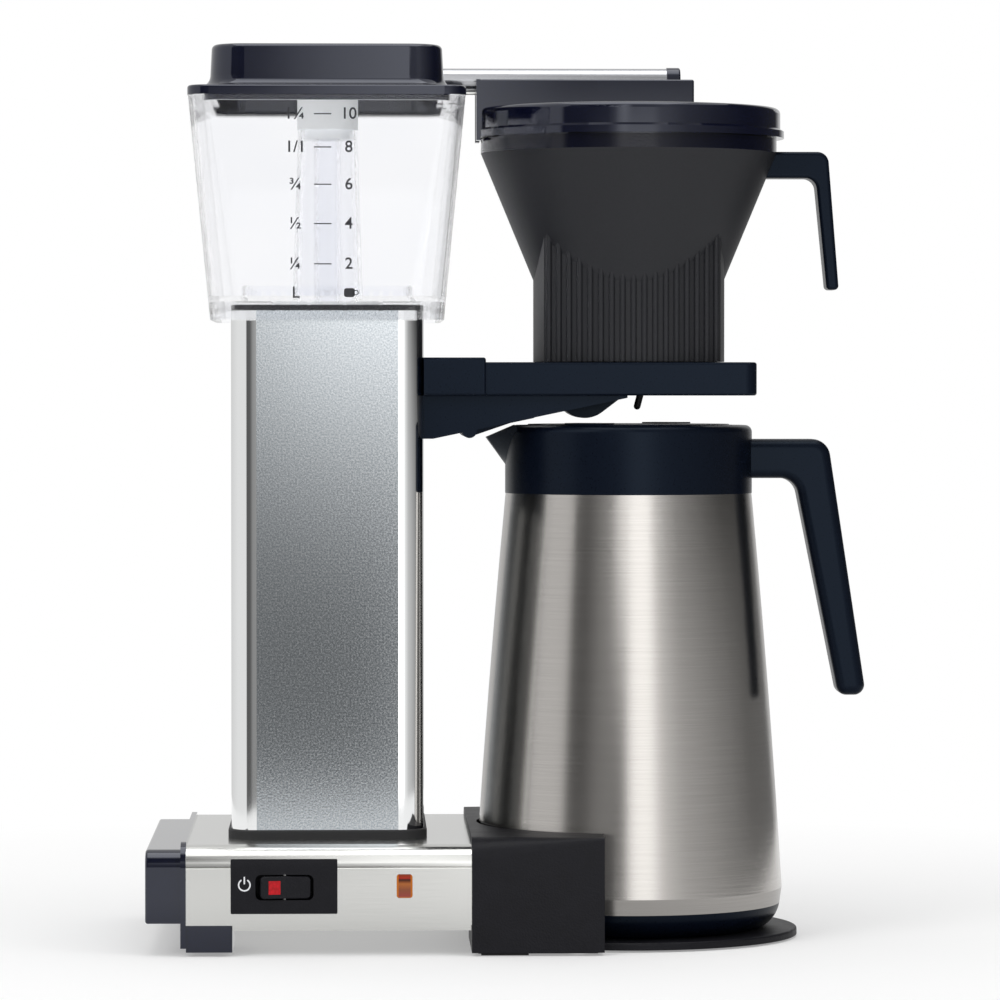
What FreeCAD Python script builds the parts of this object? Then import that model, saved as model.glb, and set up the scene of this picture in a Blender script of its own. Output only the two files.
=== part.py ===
import FreeCAD, Part
import math
import os

V = FreeCAD.Vector

# Millimetres. X runs to the right, Y to the back, Z up from the table.
# The origin is under the middle of the whole machine.

# Layout
BASKET_RIM_R = 64.4
RESERVOIR_TOP_SIZE = (117.0, 152.0, 9.0)
TANK_GAP = 8.1              # basket rim to the reservoir's rim
AXIS_SPACING = RESERVOIR_TOP_SIZE[0] / 2 + TANK_GAP + BASKET_RIM_R
LEFT_REACH = 76.5           # tower axis to the left end of the base
GRIP_SHOULDER = 86.6        # carafe axis to the upper corner of its handle
GRIP_ARM_TOP = 6.1          # handle's top below the collar rim
GRIP_TIP = 117.6            # handle's tip below the collar rim
GRIP_LEAN = math.radians(8.55)
GRIP_TIP_R = 4.5
GRIP_CORNER = GRIP_SHOULDER + (GRIP_TIP - GRIP_ARM_TOP) * math.tan(GRIP_LEAN)
HANDLE_REACH = GRIP_CORNER - GRIP_TIP_R * (math.tan(GRIP_LEAN) + 1 / math.cos(GRIP_LEAN) - 1)
TOWER_X = (LEFT_REACH - AXIS_SPACING - HANDLE_REACH) / 2
CARAFE_X = TOWER_X + AXIS_SPACING

# Clearances
FIT_GAP = 0.2               # between pieces that plug together
SLIDE_GAP = 0.3             # under a piece that slides
PIN_GAP = 0.05              # round a pivot pin
BREAK = 1.0                 # how far a cutter runs past the face it opens
LEAST_CORNER_R = 0.5        # round corners never get sharper than this

# Base: a folded sheet channel, a pan below and a moulded cap on the left end
BASE_DEPTH = 168.0
BASE_TOP = 46.5
BASE_SKIRT = 13.1           # lower edge of the front and back walls
BASE_EDGE_R = 9.0
SHEET = 1.5
CREASE_DEPTH = 0.45
PAN_BOTTOM = 10.7
PAN_SHEET = 1.5
PAN_RIM = 20.0              # height of the pan's upturned rim above the table
CAP_LENGTH = 14.9
CAP_BOTTOM = 13.8
CAP_INSET = 2.0
CAP_WALL = 2.5
CAP_CORNER_R = 1.2
CAP_FLANGE = 2.3
FLANGE_PROUD = 1.2
FLANGE_BOTTOM = 3.6
SPIGOT_LENGTH = 8.0
SPIGOT_WALL = 2.0
FOOT_LENGTH = 19.5
FOOT_DEPTH = 40.0
FOOT_BOTTOM = 1.8
PAD_INSET = 1.5
PAD_SETBACK = 22.0          # left pads behind the face of their feet
BASE_X0 = TOWER_X - LEFT_REACH + CAP_LENGTH + CAP_FLANGE
FRONT = -BASE_DEPTH / 2

# Case screws
SCREW_R = 1.75
SCREW_HEAD_R = 3.4
SCREW_HEAD = 2.0
SCREW_LENGTH = 12.0
SCREW_HOLE_R = 1.95
BOSS_R = 4.0

# Carafe: double wall, black collar, handle and foot
PLATE_R = 73.5
PLATE_BOTTOM = 0.9
PLATE_TOP = 4.1
CARAFE_HEIGHT = 218.2       # foot to collar rim
CARAFE_FOOT_R = 67.0
CARAFE_KNEE = 17.2          # height of the widest ring above the foot
CARAFE_NECK_R = 53.6
CARAFE_BULGE = 0.7
CARAFE_SHEET = 0.9
FOOT_RING_R = 58.5
FOOT_RING_TOP_R = 66.0
FOOT_RING_BULGE = 1.6
FOOT_RING_HEIGHT = 10.4
FOOT_FLOOR = 3.6
COLLAR_HEIGHT = 29.5
COLLAR_R = 53.8
COLLAR_EDGE_R = 3.0
SPOUT_REACH = 62.4
SPOUT_TIP_R = 6.0
SPOUT_DROP = 5.2            # spout tip below the collar rim
SPOUT_HEIGHT = 17.0
SPOUT_WALL = 2.4
SPOUT_ROOT = 49.3           # carafe axis to where the rim starts to fall to the spout
SPOUT_CHANNEL = 9.0
SPOUT_CHANNEL_HALF = 16.0
FLASK_GAP = 6.5             # vacuum space at the foot
FLASK_NECK_R = 44.0
FLASK_NECK_HEIGHT = 14.0
FLASK_SHOULDER = 6.0        # straight neck below the flange
FLASK_CORNER = 8.0
FLASK_FLOOR = 7.6           # flask bottom above the carafe's foot
CARAFE_BOTTOM = PLATE_TOP + SLIDE_GAP
CARAFE_TOP = CARAFE_BOTTOM + CARAFE_HEIGHT
CARAFE_SHOULDER = CARAFE_TOP - COLLAR_HEIGHT
GRIP_WIDTH = 20.0
GRIP_ARM = 17.0             # height of the handle's upper arm
GRIP_THICK = 17.0           # grip under the arm, front to back of the hand
GRIP_TIP_THICK = 12.3
GRIP_EDGE_R = 4.0
GRIP_BEND_R = 8.0
LID_SEAT_R = 45.2
LID_GAP = 0.5
LID_DEPTH = 9.6
LID_RISE = 0.5
LID_PLUG_R = 41.5
LID_PLUG_DEPTH = 16.0
LID_FUNNEL_R = 30.0
LID_FUNNEL_DEPTH = 8.0
LID_PLUG_WALL = 2.6
LID_RIB_HEIGHT = 0.6
LID_RIB_HALF = 9.0
LID_RIB_TURN = 60.0
STEM_R = 5.5
STEM_BORE_R = 4.3
STEM_FOOT_GAP = 18.0
SEAL_HEIGHT = 3.0

# Cradle that takes the foot of the carafe
POCKET_GAP = 1.2
POCKET_WALL = 2.0
CRADLE_WALL = 2.5
CRADLE_PROUD = 1.5
CRADLE_RISE = 3.2           # deck above the base top
CRADLE_LENGTH = 55.8
CRADLE_BOTTOM = 1.4
CRADLE_EDGE_LEFT = 10.0
CRADLE_EDGE_RIGHT = 1.0
CRADLE_PAD = 20.0
CRADLE_NEAR_SCREW = (20.5, 18.0)    # in from the cradle's left end and from the base's front
CRADLE_FAR_SCREW = (10.6, 9.0)      # in from its right end and from the base's front
PLATE_PAD_R = 7.0
CRADLE_X0 = CARAFE_X - CARAFE_FOOT_R - POCKET_GAP - POCKET_WALL
CRADLE_DECK = BASE_TOP + CRADLE_RISE

# Switch and lamp on the front of the base
PANEL_X = TOWER_X - 18.1
PANEL_WIDTH = 44.8
PANEL_BOTTOM = 18.1
PANEL_WRAP = 21.0           # degrees that the panel wraps over the rounded edge
PANEL_THICK = 1.2
PANEL_CORNER_R = 0.5
WELL_X = TOWER_X - 17.9
WELL_Z = 29.2
WELL_WIDTH = 24.4
WELL_HEIGHT = 10.7
WELL_CORNER_R = 2.4
ROCKER_GAP_X = 1.6
ROCKER_GAP_Z = 0.6
ROCKER_TILT = 7.0
ROCKER_END_RISE = 0.9
ROCKER_MIDDLE_RISE = 0.2
ROCKER_THICK = 3.2
ROCKER_PIVOT = 3.6          # pivot behind the panel face
ROCKER_LUG_R = 2.4
ROCKER_PIN_R = 1.0
SWITCH_WALL = 1.4
SWITCH_DEPTH = 22.0
SWITCH_WELL = 10.0
LENS_SIZE = 5.0
LENS_HEIGHT = 5.7
LENS_OFFSET = -4.7
LENS_DEPTH = 1.6
LENS_PROUD = 0.15
LAMP_X = TOWER_X + 32.5
LAMP_Z = 29.6
LAMP_WIDTH = 6.7
LAMP_HEIGHT = 10.0
LAMP_RIM = 0.6
LAMP_PROUD = 1.0
LAMP_CORNER_R = 1.2
LAMP_HOLDER = 14.0

# Cord gland at the back, board and terminals inside
GLAND_X = TOWER_X - 40.0
GLAND_Z = 29.0
GLAND_BORE_R = 3.75
GLAND_NECK_R = 6.0
GLAND_FLANGE_R = 8.5
GLAND_NECK = 9.0
GLAND_NUT = 4.0
GLAND_NUT_R = 9.0
TERMINAL_SIZE = (20.0, 14.0, 13.0)
TERMINAL_Y = 52.0
TERMINAL_WAYS = 3
BOARD_SIZE = (44.0, 40.0, 1.6)
BOARD_X = TOWER_X + 5.0
BOARD_Y = -62.0
BOARD_POST = 11.0
BOARD_POST_R = 2.5
BOARD_PART = 8.0            # tallest component above the board

# Tower and what fills it
TOWER_WIDTH = 82.4
TOWER_DEPTH = 100.0
TOWER_CORNER_R = 11.0
TOWER_SINK = 12.0           # tower tube below the base top
GASKET_HEIGHT = 3.8
GASKET_PROUD = 1.3
GASKET_EDGE_R = 0.8
TOP_CAP = 2.4
TOP_CAP_SPIGOT = 8.0
TUBE_R = 6.0                # copper boiler tube, outside
TUBE_WALL = 1.0
BOILER_Z = 28.0
BOILER_BEND_R = 14.0
BOILER_LEFT = 34.0          # tower axis to the centre of the return bend
BOILER_RISE = 62.0          # height of the boiler's upright ends
INLET_Y = 32.0
ELEMENT_R = 3.2
ELEMENT_TAIL = 8.0
THERMOSTAT_R = 8.0
THERMOSTAT_HEIGHT = 7.0
THERMOSTAT_SIDE_GAP = 5.7   # inside of the tower to the thermostat
THERMOSTAT_X = TOWER_X - TOWER_WIDTH / 2 + SHEET + THERMOSTAT_SIDE_GAP + THERMOSTAT_R
FUSE_R = 2.2
FUSE_LENGTH = 12.0
FUSE_SIDE_GAP = 17.7        # inside of the tower to the end of the fuse
FUSE_X = TOWER_X - TOWER_WIDTH / 2 + SHEET + FUSE_SIDE_GAP
GLASS_R = 5.9
GLASS_BORE_R = 4.4
COUPLER_R = 8.5
COUPLER_HALF = 13.0
HOSE_R = 8.0
HOSE_GRIP = 8.0             # length of hose pushed over a spigot
VALVE_Z = 110.0
VALVE_HALF = 14.0
VALVE_BODY_R = 9.0
VALVE_BODY_HALF = 8.0
BALL_R = 4.2
BALL_LIFT = 3.0
BALL_PORT_R = 3.0
BALL_CAGE_R = 5.4

# Basket holder, its bracket and the drip stop
HOLDER_GAP = 12.9           # collar rim to the underside of the holder
HOLDER_THICK = 14.3
HOLDER_ROOT = 26.5
HOLDER_ROOT_RISE = 2.0
HOLDER_ROOT_HALF = 46.0
HOLDER_REACH = 52.9         # carafe axis to the tips of the prongs
PRONG_OUTER = 45.0
PRONG_INNER = 31.0
PRONG_TIP_R = 5.0
HOLDER_EDGE_R = 1.1
BRACKET_DROP = 18.5
BRACKET_END = 2.5           # bracket point short of the carafe axis
BRACKET_OUTER = 40.0
BRACKET_PLATE = 4.0
BRACKET_BACK = 4.0
LEVER_PIVOT_X = 19.6        # tower side to the pivot
LEVER_PIVOT_DROP = 15.0
LEVER_PIN_R = 1.5
LEVER_EAR_R = 3.2
LEVER_HALF = 12.0
LEVER_TIP = 2.2             # top of the lever's tip above the holder's underside
# Lever's outline from the carafe axis and the holder's underside: lower side with the cam, then upper side
LEVER_CAM = ((-20.0, -9.8), (-12.0, -7.2))
LEVER_LOWER = [(-52.0, -12.0), (-42.0, -9.9), (-35.0, -6.6), (-28.0, -6.6), LEVER_CAM,
               (-2.0, 0.4), (1.0, 0.4)]
LEVER_UPPER = [(1.0, LEVER_TIP), (-4.0, LEVER_TIP), (-14.0, -2.8), (-30.0, -3.2), (-48.0, -6.4)]
HOLDER_SCREW_Y = 24.0
HOLDER_BOTTOM = CARAFE_TOP + HOLDER_GAP
HOLDER_TOP = HOLDER_BOTTOM + HOLDER_THICK

# Brew basket, cone above a ribbed stand
BASKET_HEIGHT = 96.7
BASKET_BAND = 6.0
BASKET_SLOPE = 0.414        # radius gained per millimetre of height
BASKET_WALL = 2.2
BASKET_FLOOR = 12.0         # inside floor above the stand's foot
BASKET_FLOOR_THICK = 3.0
STAND_HALF_X = 41.5
STAND_HALF_Y = 41.0
STAND_CORNER_X = 38.0
STAND_CORNER_Y = 31.0
STAND_WALL = 2.5
STAND_RIB_R = 1.3
STAND_RIBS = 17
BASKET_SPOUT_R = 8.0
BASKET_SPOUT_BORE = 5.5
BASKET_SPOUT_DROP = 9.0     # spout mouth below the stand's foot
DRIP_FINGER_R = 1.5
DRIP_FINGER_OFFSET = 3.8    # finger tip beside the axis
DRIP_FINGER_DROP = 19.3
BRIDGE_THICK = 2.5
BRIDGE_WIDTH = 5.0
STEM_GUIDE_R = 2.0
VALVE_HEAD_R = 8.0
VALVE_HEAD = 2.0
VALVE_LIFT = 3.7
VALVE_CLIP_R = 3.0
VALVE_CLIP = 1.5
VALVE_SEAL = 1.2
SPRING_R = 2.6
SPRING_WIRE_R = 0.4
SPRING_TURNS = 3
BASKET_GRIP_HALF = 7.5
BASKET_GRIP_ARM = 11.5
BASKET_GRIP_TOP = 5.4       # handle top below the basket rim
BASKET_GRIP_REACH = 91.3    # carafe axis to the handle's tip
BASKET_GRIP_LEAN = 4.8
BASKET_GRIP_THICK = 5.4
BASKET_GRIP_DROP = 60.0
BASKET_GRIP_EDGE_R = 1.6
BASKET_GRIP_BEND_R = 5.0
BASKET_GRIP_TIP_R = 1.8
STAND_BOTTOM = HOLDER_TOP + SLIDE_GAP
BASKET_RIM = STAND_BOTTOM + BASKET_HEIGHT

# Basket lid with the open channel for the spray tube
LID_OVERHANG = 1.6
LID_LIP_PROUD = 1.6
LID_R = BASKET_RIM_R + LID_OVERHANG
LID_LIP_R = LID_R + LID_LIP_PROUD
LID_LIP = 3.0
LID_HEIGHT = 13.0
LID_EDGE_R = 2.5
LID_WALL = 2.2
LID_SKIRT_DROP = 4.0
LID_LEFT_PAST = 0.4         # lid's flat left end past the basket rim
LID_LEFT = BASKET_RIM_R + LID_LEFT_PAST
LID_TAB = 1.9
LID_TAB_DROP = 1.2
CHANNEL_HALF = 6.6
CHANNEL_HEIGHT = 12.1
CHANNEL_OUTER = 15.0
CHANNEL_END = 27.6          # carafe axis to the channel's closed right end
CHANNEL_EDGE_R = 1.0
BASKET_LID_BOTTOM = BASKET_RIM + SLIDE_GAP
BASKET_LID_TOP = BASKET_LID_BOTTOM + LID_HEIGHT

# Spray tube that carries hot water from the riser to the basket
SPRAY_RISE = 12.7           # tube axis above the top of the basket lid
SPRAY_R = 4.85
SPRAY_WALL = 0.8
SPRAY_REACH = 22.4          # carafe axis to the end of the tube's cap
SPRAY_CAP = 6.0
SPRAY_CAP_WALL = 0.45
SPRAY_HOLES = 9
SPRAY_HOLE_R = 1.1
SPRAY_HOLE_PITCH = 5.0
WIRE_R = 0.9
WIRE_END = 28.0             # wire stops this far short of the carafe axis
ELBOW_R = 9.5
ELBOW_SOCKET_R = 7.2
ELBOW_SOCKET = 24.0
ELBOW_STOP = 9.0
ELBOW_BORE_R = 3.6
ELBOW_SPIGOT_R = 5.2
ELBOW_SPIGOT = 9.0
ELBOW_CROWN = 7.5
SPRAY_Z = BASKET_LID_TOP + SPRAY_RISE

# Reservoir, its lid and the connector on top of the riser
RESERVOIR_DROP = 10.8       # reservoir rim below the spray tube axis
RESERVOIR_HEIGHT = 94.3
RESERVOIR_FOOT_SIZE = (99.5, 134.0, 17.0)
RESERVOIR_WALL = 2.2
RESERVOIR_FLOOR = 2.4
RESERVOIR_OVERLAP = 4.1     # skirt below the top of the tower
RESERVOIR_RIBS = 4
RESERVOIR_RIB = 1.6
FENCE_SIZE = (72.8, 88.0, 8.0)      # low slotted wall round the outlet on the floor
FENCE_HEIGHT = 4.6
FENCE_WALL = 1.8
FENCE_SLOTS = 14
FENCE_SLOT = 1.6
FENCE_SLOT_PITCH = 4.2
FENCE_SLOT_HEIGHT = 2.4
SEAT_GASKET = 1.2
SEAT_GASKET_R = 24.0
CHIMNEY_FOOT_R = 15.3
CHIMNEY_TOP_R = 12.9
CHIMNEY_WALL = 1.8
CHIMNEY_DROP = 11.3         # chimney top below the reservoir rim
THREAD_R = 15.0
THREAD_WALL = 3.0
NUT_ACROSS = 42.0
NUT_THICK = 7.0
OUTLET_BORE_R = 4.0
OUTLET_LENGTH = 16.0
CONNECTOR_R = 13.2
CONNECTOR_RISE = 3.0        # connector top above the reservoir rim
CONNECTOR_PLUG = 4.1
GLASS_SOCKET = 4.3
LID_FLANGE = 4.0
LID_FLANGE_PROUD = 0.3
LID_FLANGE_EDGE_R = 1.2
LID_SKIRT_SIZE = (104.0, 138.0, 9.0)
LID_SKIRT = 2.0
DOME_FOOT_SIZE = (99.6, 134.0, 15.0)
DOME_TOP_SIZE = (97.6, 131.0, 14.0)
DOME_HEIGHT = 18.0
DOME_EDGE_R = 2.2
DOME_FLARE_R = 5.0
DOME_WALL = 2.2
NOTCH_GAP = 0.8
RESERVOIR_TOP = SPRAY_Z - RESERVOIR_DROP
RESERVOIR_BOTTOM = RESERVOIR_TOP - RESERVOIR_HEIGHT
TOWER_TOP = RESERVOIR_BOTTOM + RESERVOIR_OVERLAP
CAP_TOP = TOWER_TOP + TOP_CAP
FLOOR_UNDER = CAP_TOP + SEAT_GASKET
FLOOR_TOP = FLOOR_UNDER + RESERVOIR_FLOOR
CHIMNEY_TOP = RESERVOIR_TOP - CHIMNEY_DROP
CONNECTOR_TOP = RESERVOIR_TOP + CONNECTOR_RISE
GLASS_TOP = CHIMNEY_TOP + GLASS_SOCKET


def box(x0, x1, y0, y1, z0, z1):
    return Part.makeBox(x1 - x0, y1 - y0, z1 - z0, V(x0, y0, z0))


def upright(x, y, z0, z1, radius):
    return Part.makeCylinder(radius, z1 - z0, V(x, y, z0))


def along_x(x0, x1, y, z, radius):
    return Part.makeCylinder(radius, x1 - x0, V(x0, y, z), V(1, 0, 0))


def along_y(x, y0, y1, z, radius):
    return Part.makeCylinder(radius, y1 - y0, V(x, y0, z), V(0, 1, 0))


def ring(x, y, z0, z1, outer, inner):
    return upright(x, y, z0, z1, outer).cut(upright(x, y, z0 - BREAK, z1 + BREAK, inner))


def outline(place, start, *steps):
    """Closed wire. A step is an end point, or a middle point and an end point for an arc."""
    edges = []
    here = start
    for step in steps + (start,):
        if isinstance(step[0], tuple):
            edges.append(Part.Arc(place(*here), place(*step[0]), place(*step[1])).toShape())
            here = step[1]
        elif step != here:
            edges.append(Part.LineSegment(place(*here), place(*step)).toShape())
            here = step
    return Part.Wire(edges)


def turned(x, start, *steps):
    """Solid turned about the vertical axis at x from an outline of radius and height."""
    wire = outline(lambda r, z: V(x + r, 0, z), start, *steps)
    return Part.Face(wire).revolve(V(x, 0, 0), V(0, 0, 1), 360)


def plate_xz(y0, y1, start, *steps):
    wire = outline(lambda x, z: V(x, y0, z), start, *steps)
    return Part.Face(wire).extrude(V(0, y1 - y0, 0))


def bar(half, edge, corners):
    """Bar across Y with an outline of corners (x, z, radius) and its long edges rounded by edge."""
    points = [V(x, -half, z) for x, z, _ in corners + corners[:1]]
    solid = Part.Face(Part.makePolygon(points)).extrude(V(0, 2 * half, 0))
    for x, z, r in corners:
        if r:
            corner = edges_where(solid, lambda b: b.YLength > half and abs(b.XMin - x) < 1e-3
                                 and abs(b.ZMin - z) < 1e-3)
            solid = solid.makeFillet(r, corner)
    return solid.makeFillet(edge, edges_where(solid, lambda b: b.YLength < 1e-3))


def rounded_rect(x, size, z):
    """Wire of a rectangle with round corners, centred on x, with size as width, depth, radius."""
    width, depth, r = size
    a = width / 2
    b = depth / 2
    k = r * (1 - math.sqrt(0.5))
    return outline(lambda u, v: V(x + u, v, z),
                   (r - a, -b), (a - r, -b), ((a - k, k - b), (a, r - b)),
                   (a, b - r), ((a - k, b - k), (a - r, b)),
                   (r - a, b), ((k - a, b - k), (-a, b - r)),
                   (-a, r - b), ((k - a, k - b), (r - a, -b)))


def inset(size, wall):
    return (size[0] - 2 * wall, size[1] - 2 * wall, max(size[2] - wall, LEAST_CORNER_R))


def rounded_block(x, size, z0, z1):
    return Part.Face(rounded_rect(x, size, z0)).extrude(V(0, 0, z1 - z0))


def tapered_block(x, foot, z0, top, z1):
    return Part.makeLoft([rounded_rect(x, foot, z0), rounded_rect(x, top, z1)], True, True)


def teardrop(x, radius, reach, tip, z):
    """Wire of a circle about x with a rounded beak that points to -X."""
    d = reach - tip
    lean = math.acos((radius - tip) / d)
    c = math.cos(lean)
    s = math.sin(lean)
    return outline(lambda u, v: V(x - u, v, z),
                   (radius * c, -radius * s), ((-radius, 0), (radius * c, radius * s)),
                   (d + tip * c, tip * s), ((reach, 0), (d + tip * c, -tip * s)))


def edges_where(shape, test):
    return [e for e in shape.Edges if test(e.BoundBox)]


def level_edges(shape, z):
    return edges_where(shape, lambda b: abs(b.ZMin - z) < 1e-3 and abs(b.ZMax - z) < 1e-3)


def base_block(gap, z0, x0, x1):
    """Length of the base's section, drawn in by gap, from z0 up."""
    y = BASE_DEPTH / 2 - gap
    top = BASE_TOP - gap
    r = BASE_EDGE_R - gap
    k = r * (1 - math.sqrt(0.5))
    wire = outline(lambda b, z: V(x0, b, z), (-y, z0), (-y, top - r), ((k - y, top - k), (r - y, top)),
                   (y - r, top), ((y - k, top - k), (y, top - r)), (y, z0))
    return Part.Face(wire).extrude(V(x1 - x0, 0, 0))


def spigot(x0, x1):
    """Tongue of an end piece that plugs into the base's sheet, above the pan's rim."""
    outer = base_block(SHEET + FIT_GAP, PAN_RIM + BREAK, x0, x1)
    return outer.cut(base_block(SHEET + FIT_GAP + SPIGOT_WALL, 0, x0 - BREAK, x1 + BREAK))


def tower_size(gap):
    return inset((TOWER_WIDTH, TOWER_DEPTH, TOWER_CORNER_R), gap)


def panel_top():
    return BASE_TOP - BASE_EDGE_R


def carafe_radius(z):
    """Outside radius of the carafe's steel body at height z."""
    foot = CARAFE_BOTTOM + CARAFE_KNEE
    t = (z - foot) / (CARAFE_SHOULDER - foot)
    return CARAFE_FOOT_R + (CARAFE_NECK_R - CARAFE_FOOT_R) * t + 4 * CARAFE_BULGE * t * (1 - t)


def cone_radius(z):
    """Outside radius of the basket's cone at height z."""
    return BASKET_RIM_R - BASKET_SLOPE * (BASKET_RIM - BASKET_BAND - z)


def base_housing():
    shell = base_block(0, BASE_SKIRT, BASE_X0, CRADLE_X0)
    shell = shell.cut(base_block(SHEET, 0, BASE_X0 - BREAK, CRADLE_X0 + BREAK))
    deep = CREASE_DEPTH
    z = panel_top()
    for side in (-1, 1):
        y = side * BASE_DEPTH / 2
        wire = outline(lambda b, h: V(BASE_X0 - BREAK, b, h),
                       (y + side, z - deep - 1), (y + side, z + deep + 1), (y - side * deep, z))
        shell = shell.cut(Part.Face(wire).extrude(V(CRADLE_X0 - BASE_X0 + 2 * BREAK, 0, 0)))
    shell = shell.cut(rounded_block(TOWER_X, tower_size(-FIT_GAP), BASE_TOP - BASE_EDGE_R, BASE_TOP + BREAK))
    hole_x = WELL_WIDTH / 2 + SWITCH_WALL + FIT_GAP
    hole_z = WELL_HEIGHT / 2 + SWITCH_WALL + FIT_GAP
    shell = shell.cut(box(WELL_X - hole_x, WELL_X + hole_x, FRONT - BREAK, FRONT + SHEET + BREAK,
                          WELL_Z - hole_z, WELL_Z + hole_z))
    shell = shell.cut(lamp_block(LAMP_RIM - FIT_GAP, FRONT - BREAK, FRONT + SHEET + BREAK))
    back = BASE_DEPTH / 2
    return shell.cut(along_y(GLAND_X, back - SHEET - BREAK, back + BREAK, GLAND_Z, GLAND_NECK_R + FIT_GAP))


def pan_screw_points():
    x = BASE_X0 + SPIGOT_LENGTH / 2 + CAP_WALL
    return [(x, -BASE_DEPTH / 4), (x, BASE_DEPTH / 4)]


def cradle_screw_points():
    """Two bosses in each corner of the cradle, clear of the pocket for the carafe."""
    near = CRADLE_X0 + CRADLE_NEAR_SCREW[0]
    far = CRADLE_X0 + CRADLE_LENGTH - CRADLE_FAR_SCREW[0]
    y_near = BASE_DEPTH / 2 - CRADLE_NEAR_SCREW[1]
    y_far = BASE_DEPTH / 2 - CRADLE_FAR_SCREW[1]
    return [(near, -y_near), (near, y_near), (far, -y_far), (far, y_far)]


def bottom_plate():
    y = BASE_DEPTH / 2 - SHEET - FIT_GAP
    x0 = BASE_X0 + FIT_GAP
    x1 = CRADLE_X0 - FIT_GAP
    pan = box(x0, x1, -y, y, PAN_BOTTOM, PAN_RIM)
    pan = pan.cut(box(x0 + PAN_SHEET, x1 - PAN_SHEET, PAN_SHEET - y, y - PAN_SHEET,
                      PAN_BOTTOM + PAN_SHEET, PAN_RIM + BREAK))
    for x, yy in pan_screw_points():
        pan = pan.cut(upright(x, yy, PAN_BOTTOM - BREAK, PAN_RIM, SCREW_HOLE_R))
    return pan


def end_cap():
    x0 = TOWER_X - LEFT_REACH
    x1 = x0 + CAP_LENGTH
    body = base_block(CAP_INSET, CAP_BOTTOM, x0, x1)
    corners = edges_where(body, lambda b: abs(b.XMax - x0) < 1e-3)
    body = body.makeFillet(CAP_CORNER_R, corners)
    flange = base_block(-FLANGE_PROUD, FLANGE_BOTTOM, x1, BASE_X0)
    cap = body.fuse([flange, spigot(BASE_X0, BASE_X0 + SPIGOT_LENGTH)])
    hollow = base_block(CAP_INSET + CAP_WALL, CAP_BOTTOM + CAP_WALL, x0 + CAP_WALL, BASE_X0 + BREAK)
    cap = cap.cut(hollow)
    floor = PAN_BOTTOM + PAN_SHEET
    for x, y in pan_screw_points():
        boss = upright(x, y, floor, floor + SCREW_LENGTH, BOSS_R)
        arm = box(x0 + CAP_WALL / 2, x, y - BOSS_R / 2, y + BOSS_R / 2, PAN_RIM + BREAK, floor + SCREW_LENGTH)
        cap = cap.fuse([boss, arm]).cut(upright(x, y, floor - BREAK, floor + SCREW_LENGTH - 1, SCREW_R))
    return cap.removeSplitter()


def foot_places():
    y = BASE_DEPTH / 2
    return [(-y, FOOT_DEPTH - y), (y - FOOT_DEPTH, y)]


def left_feet():
    feet = []
    y = BASE_DEPTH / 2 - SHEET - FIT_GAP
    pan = box(BASE_X0, BASE_X0 + FOOT_LENGTH + BREAK, -y, y, PAN_BOTTOM, PAN_RIM)
    for y0, y1 in foot_places():
        block = box(BASE_X0, BASE_X0 + FOOT_LENGTH, y0, y1, FOOT_BOTTOM, BASE_SKIRT)
        corners = edges_where(block, lambda b: abs(b.XMin - BASE_X0 - FOOT_LENGTH) < 1e-3 and b.ZLength > BREAK)
        block = block.makeFillet(BREAK, corners)
        block = block.cut(pan)
        for x, y_screw in pan_screw_points():
            block = block.cut(upright(x, y_screw, 0, PAN_RIM, SCREW_HEAD_R + FIT_GAP))
        feet.append(block)
    return Part.makeCompound(feet)


def foot_pads():
    pads = []
    cradle_y = BASE_DEPTH / 2 + CRADLE_PROUD - PAD_INSET
    for side in (-1, 1):
        y_edge = side * (BASE_DEPTH / 2 - PAD_SETBACK)
        y_in = side * (BASE_DEPTH / 2 - FOOT_DEPTH + PAD_INSET)
        pads.append(box(BASE_X0 + PAD_INSET, BASE_X0 + FOOT_LENGTH - PAD_INSET,
                        min(y_edge, y_in), max(y_edge, y_in), 0, FOOT_BOTTOM))
        y_a = side * (cradle_y - FIT_GAP - CRADLE_WALL)
        y_b = side * (cradle_y - FIT_GAP - CRADLE_WALL - CRADLE_PAD / 2)
        x0 = CRADLE_X0 + CRADLE_WALL + PAD_INSET
        pads.append(box(x0, x0 + CRADLE_PAD, min(y_a, y_b), max(y_a, y_b), 0, PLATE_BOTTOM))
        pads.append(upright(CARAFE_X + PLATE_R / 2, side * PLATE_R / 2, 0, PLATE_BOTTOM, PLATE_PAD_R))
    return Part.makeCompound(pads)


def cradle_block(wall, z0):
    """Cradle's outer block drawn in by wall, with edges that tighten from left to right."""
    y = BASE_DEPTH / 2 + CRADLE_PROUD - wall
    top = CRADLE_DECK - wall
    wires = []
    for x, edge in ((CRADLE_X0 + wall, CRADLE_EDGE_LEFT),
                    (CRADLE_X0 + CRADLE_LENGTH - wall, CRADLE_EDGE_RIGHT)):
        r = max(edge - wall, CRADLE_EDGE_RIGHT / 2)
        k = r * (1 - math.sqrt(0.5))
        wires.append(outline(lambda b, z: V(x, b, z), (-y, z0), (-y, top - r),
                             ((k - y, top - k), (r - y, top)), (y - r, top),
                             ((y - k, top - k), (y, top - r)), (y, z0)))
    return Part.makeLoft(wires, True, True)


def carafe_pocket(gap):
    knee = CARAFE_BOTTOM + CARAFE_KNEE
    foot = CARAFE_FOOT_R + gap
    deck = carafe_radius(CRADLE_DECK) + gap
    return turned(CARAFE_X, (0, 0), (foot, 0), (foot, knee), (deck, CRADLE_DECK),
                  (deck, CRADLE_DECK + BREAK), (0, CRADLE_DECK + BREAK))


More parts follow.
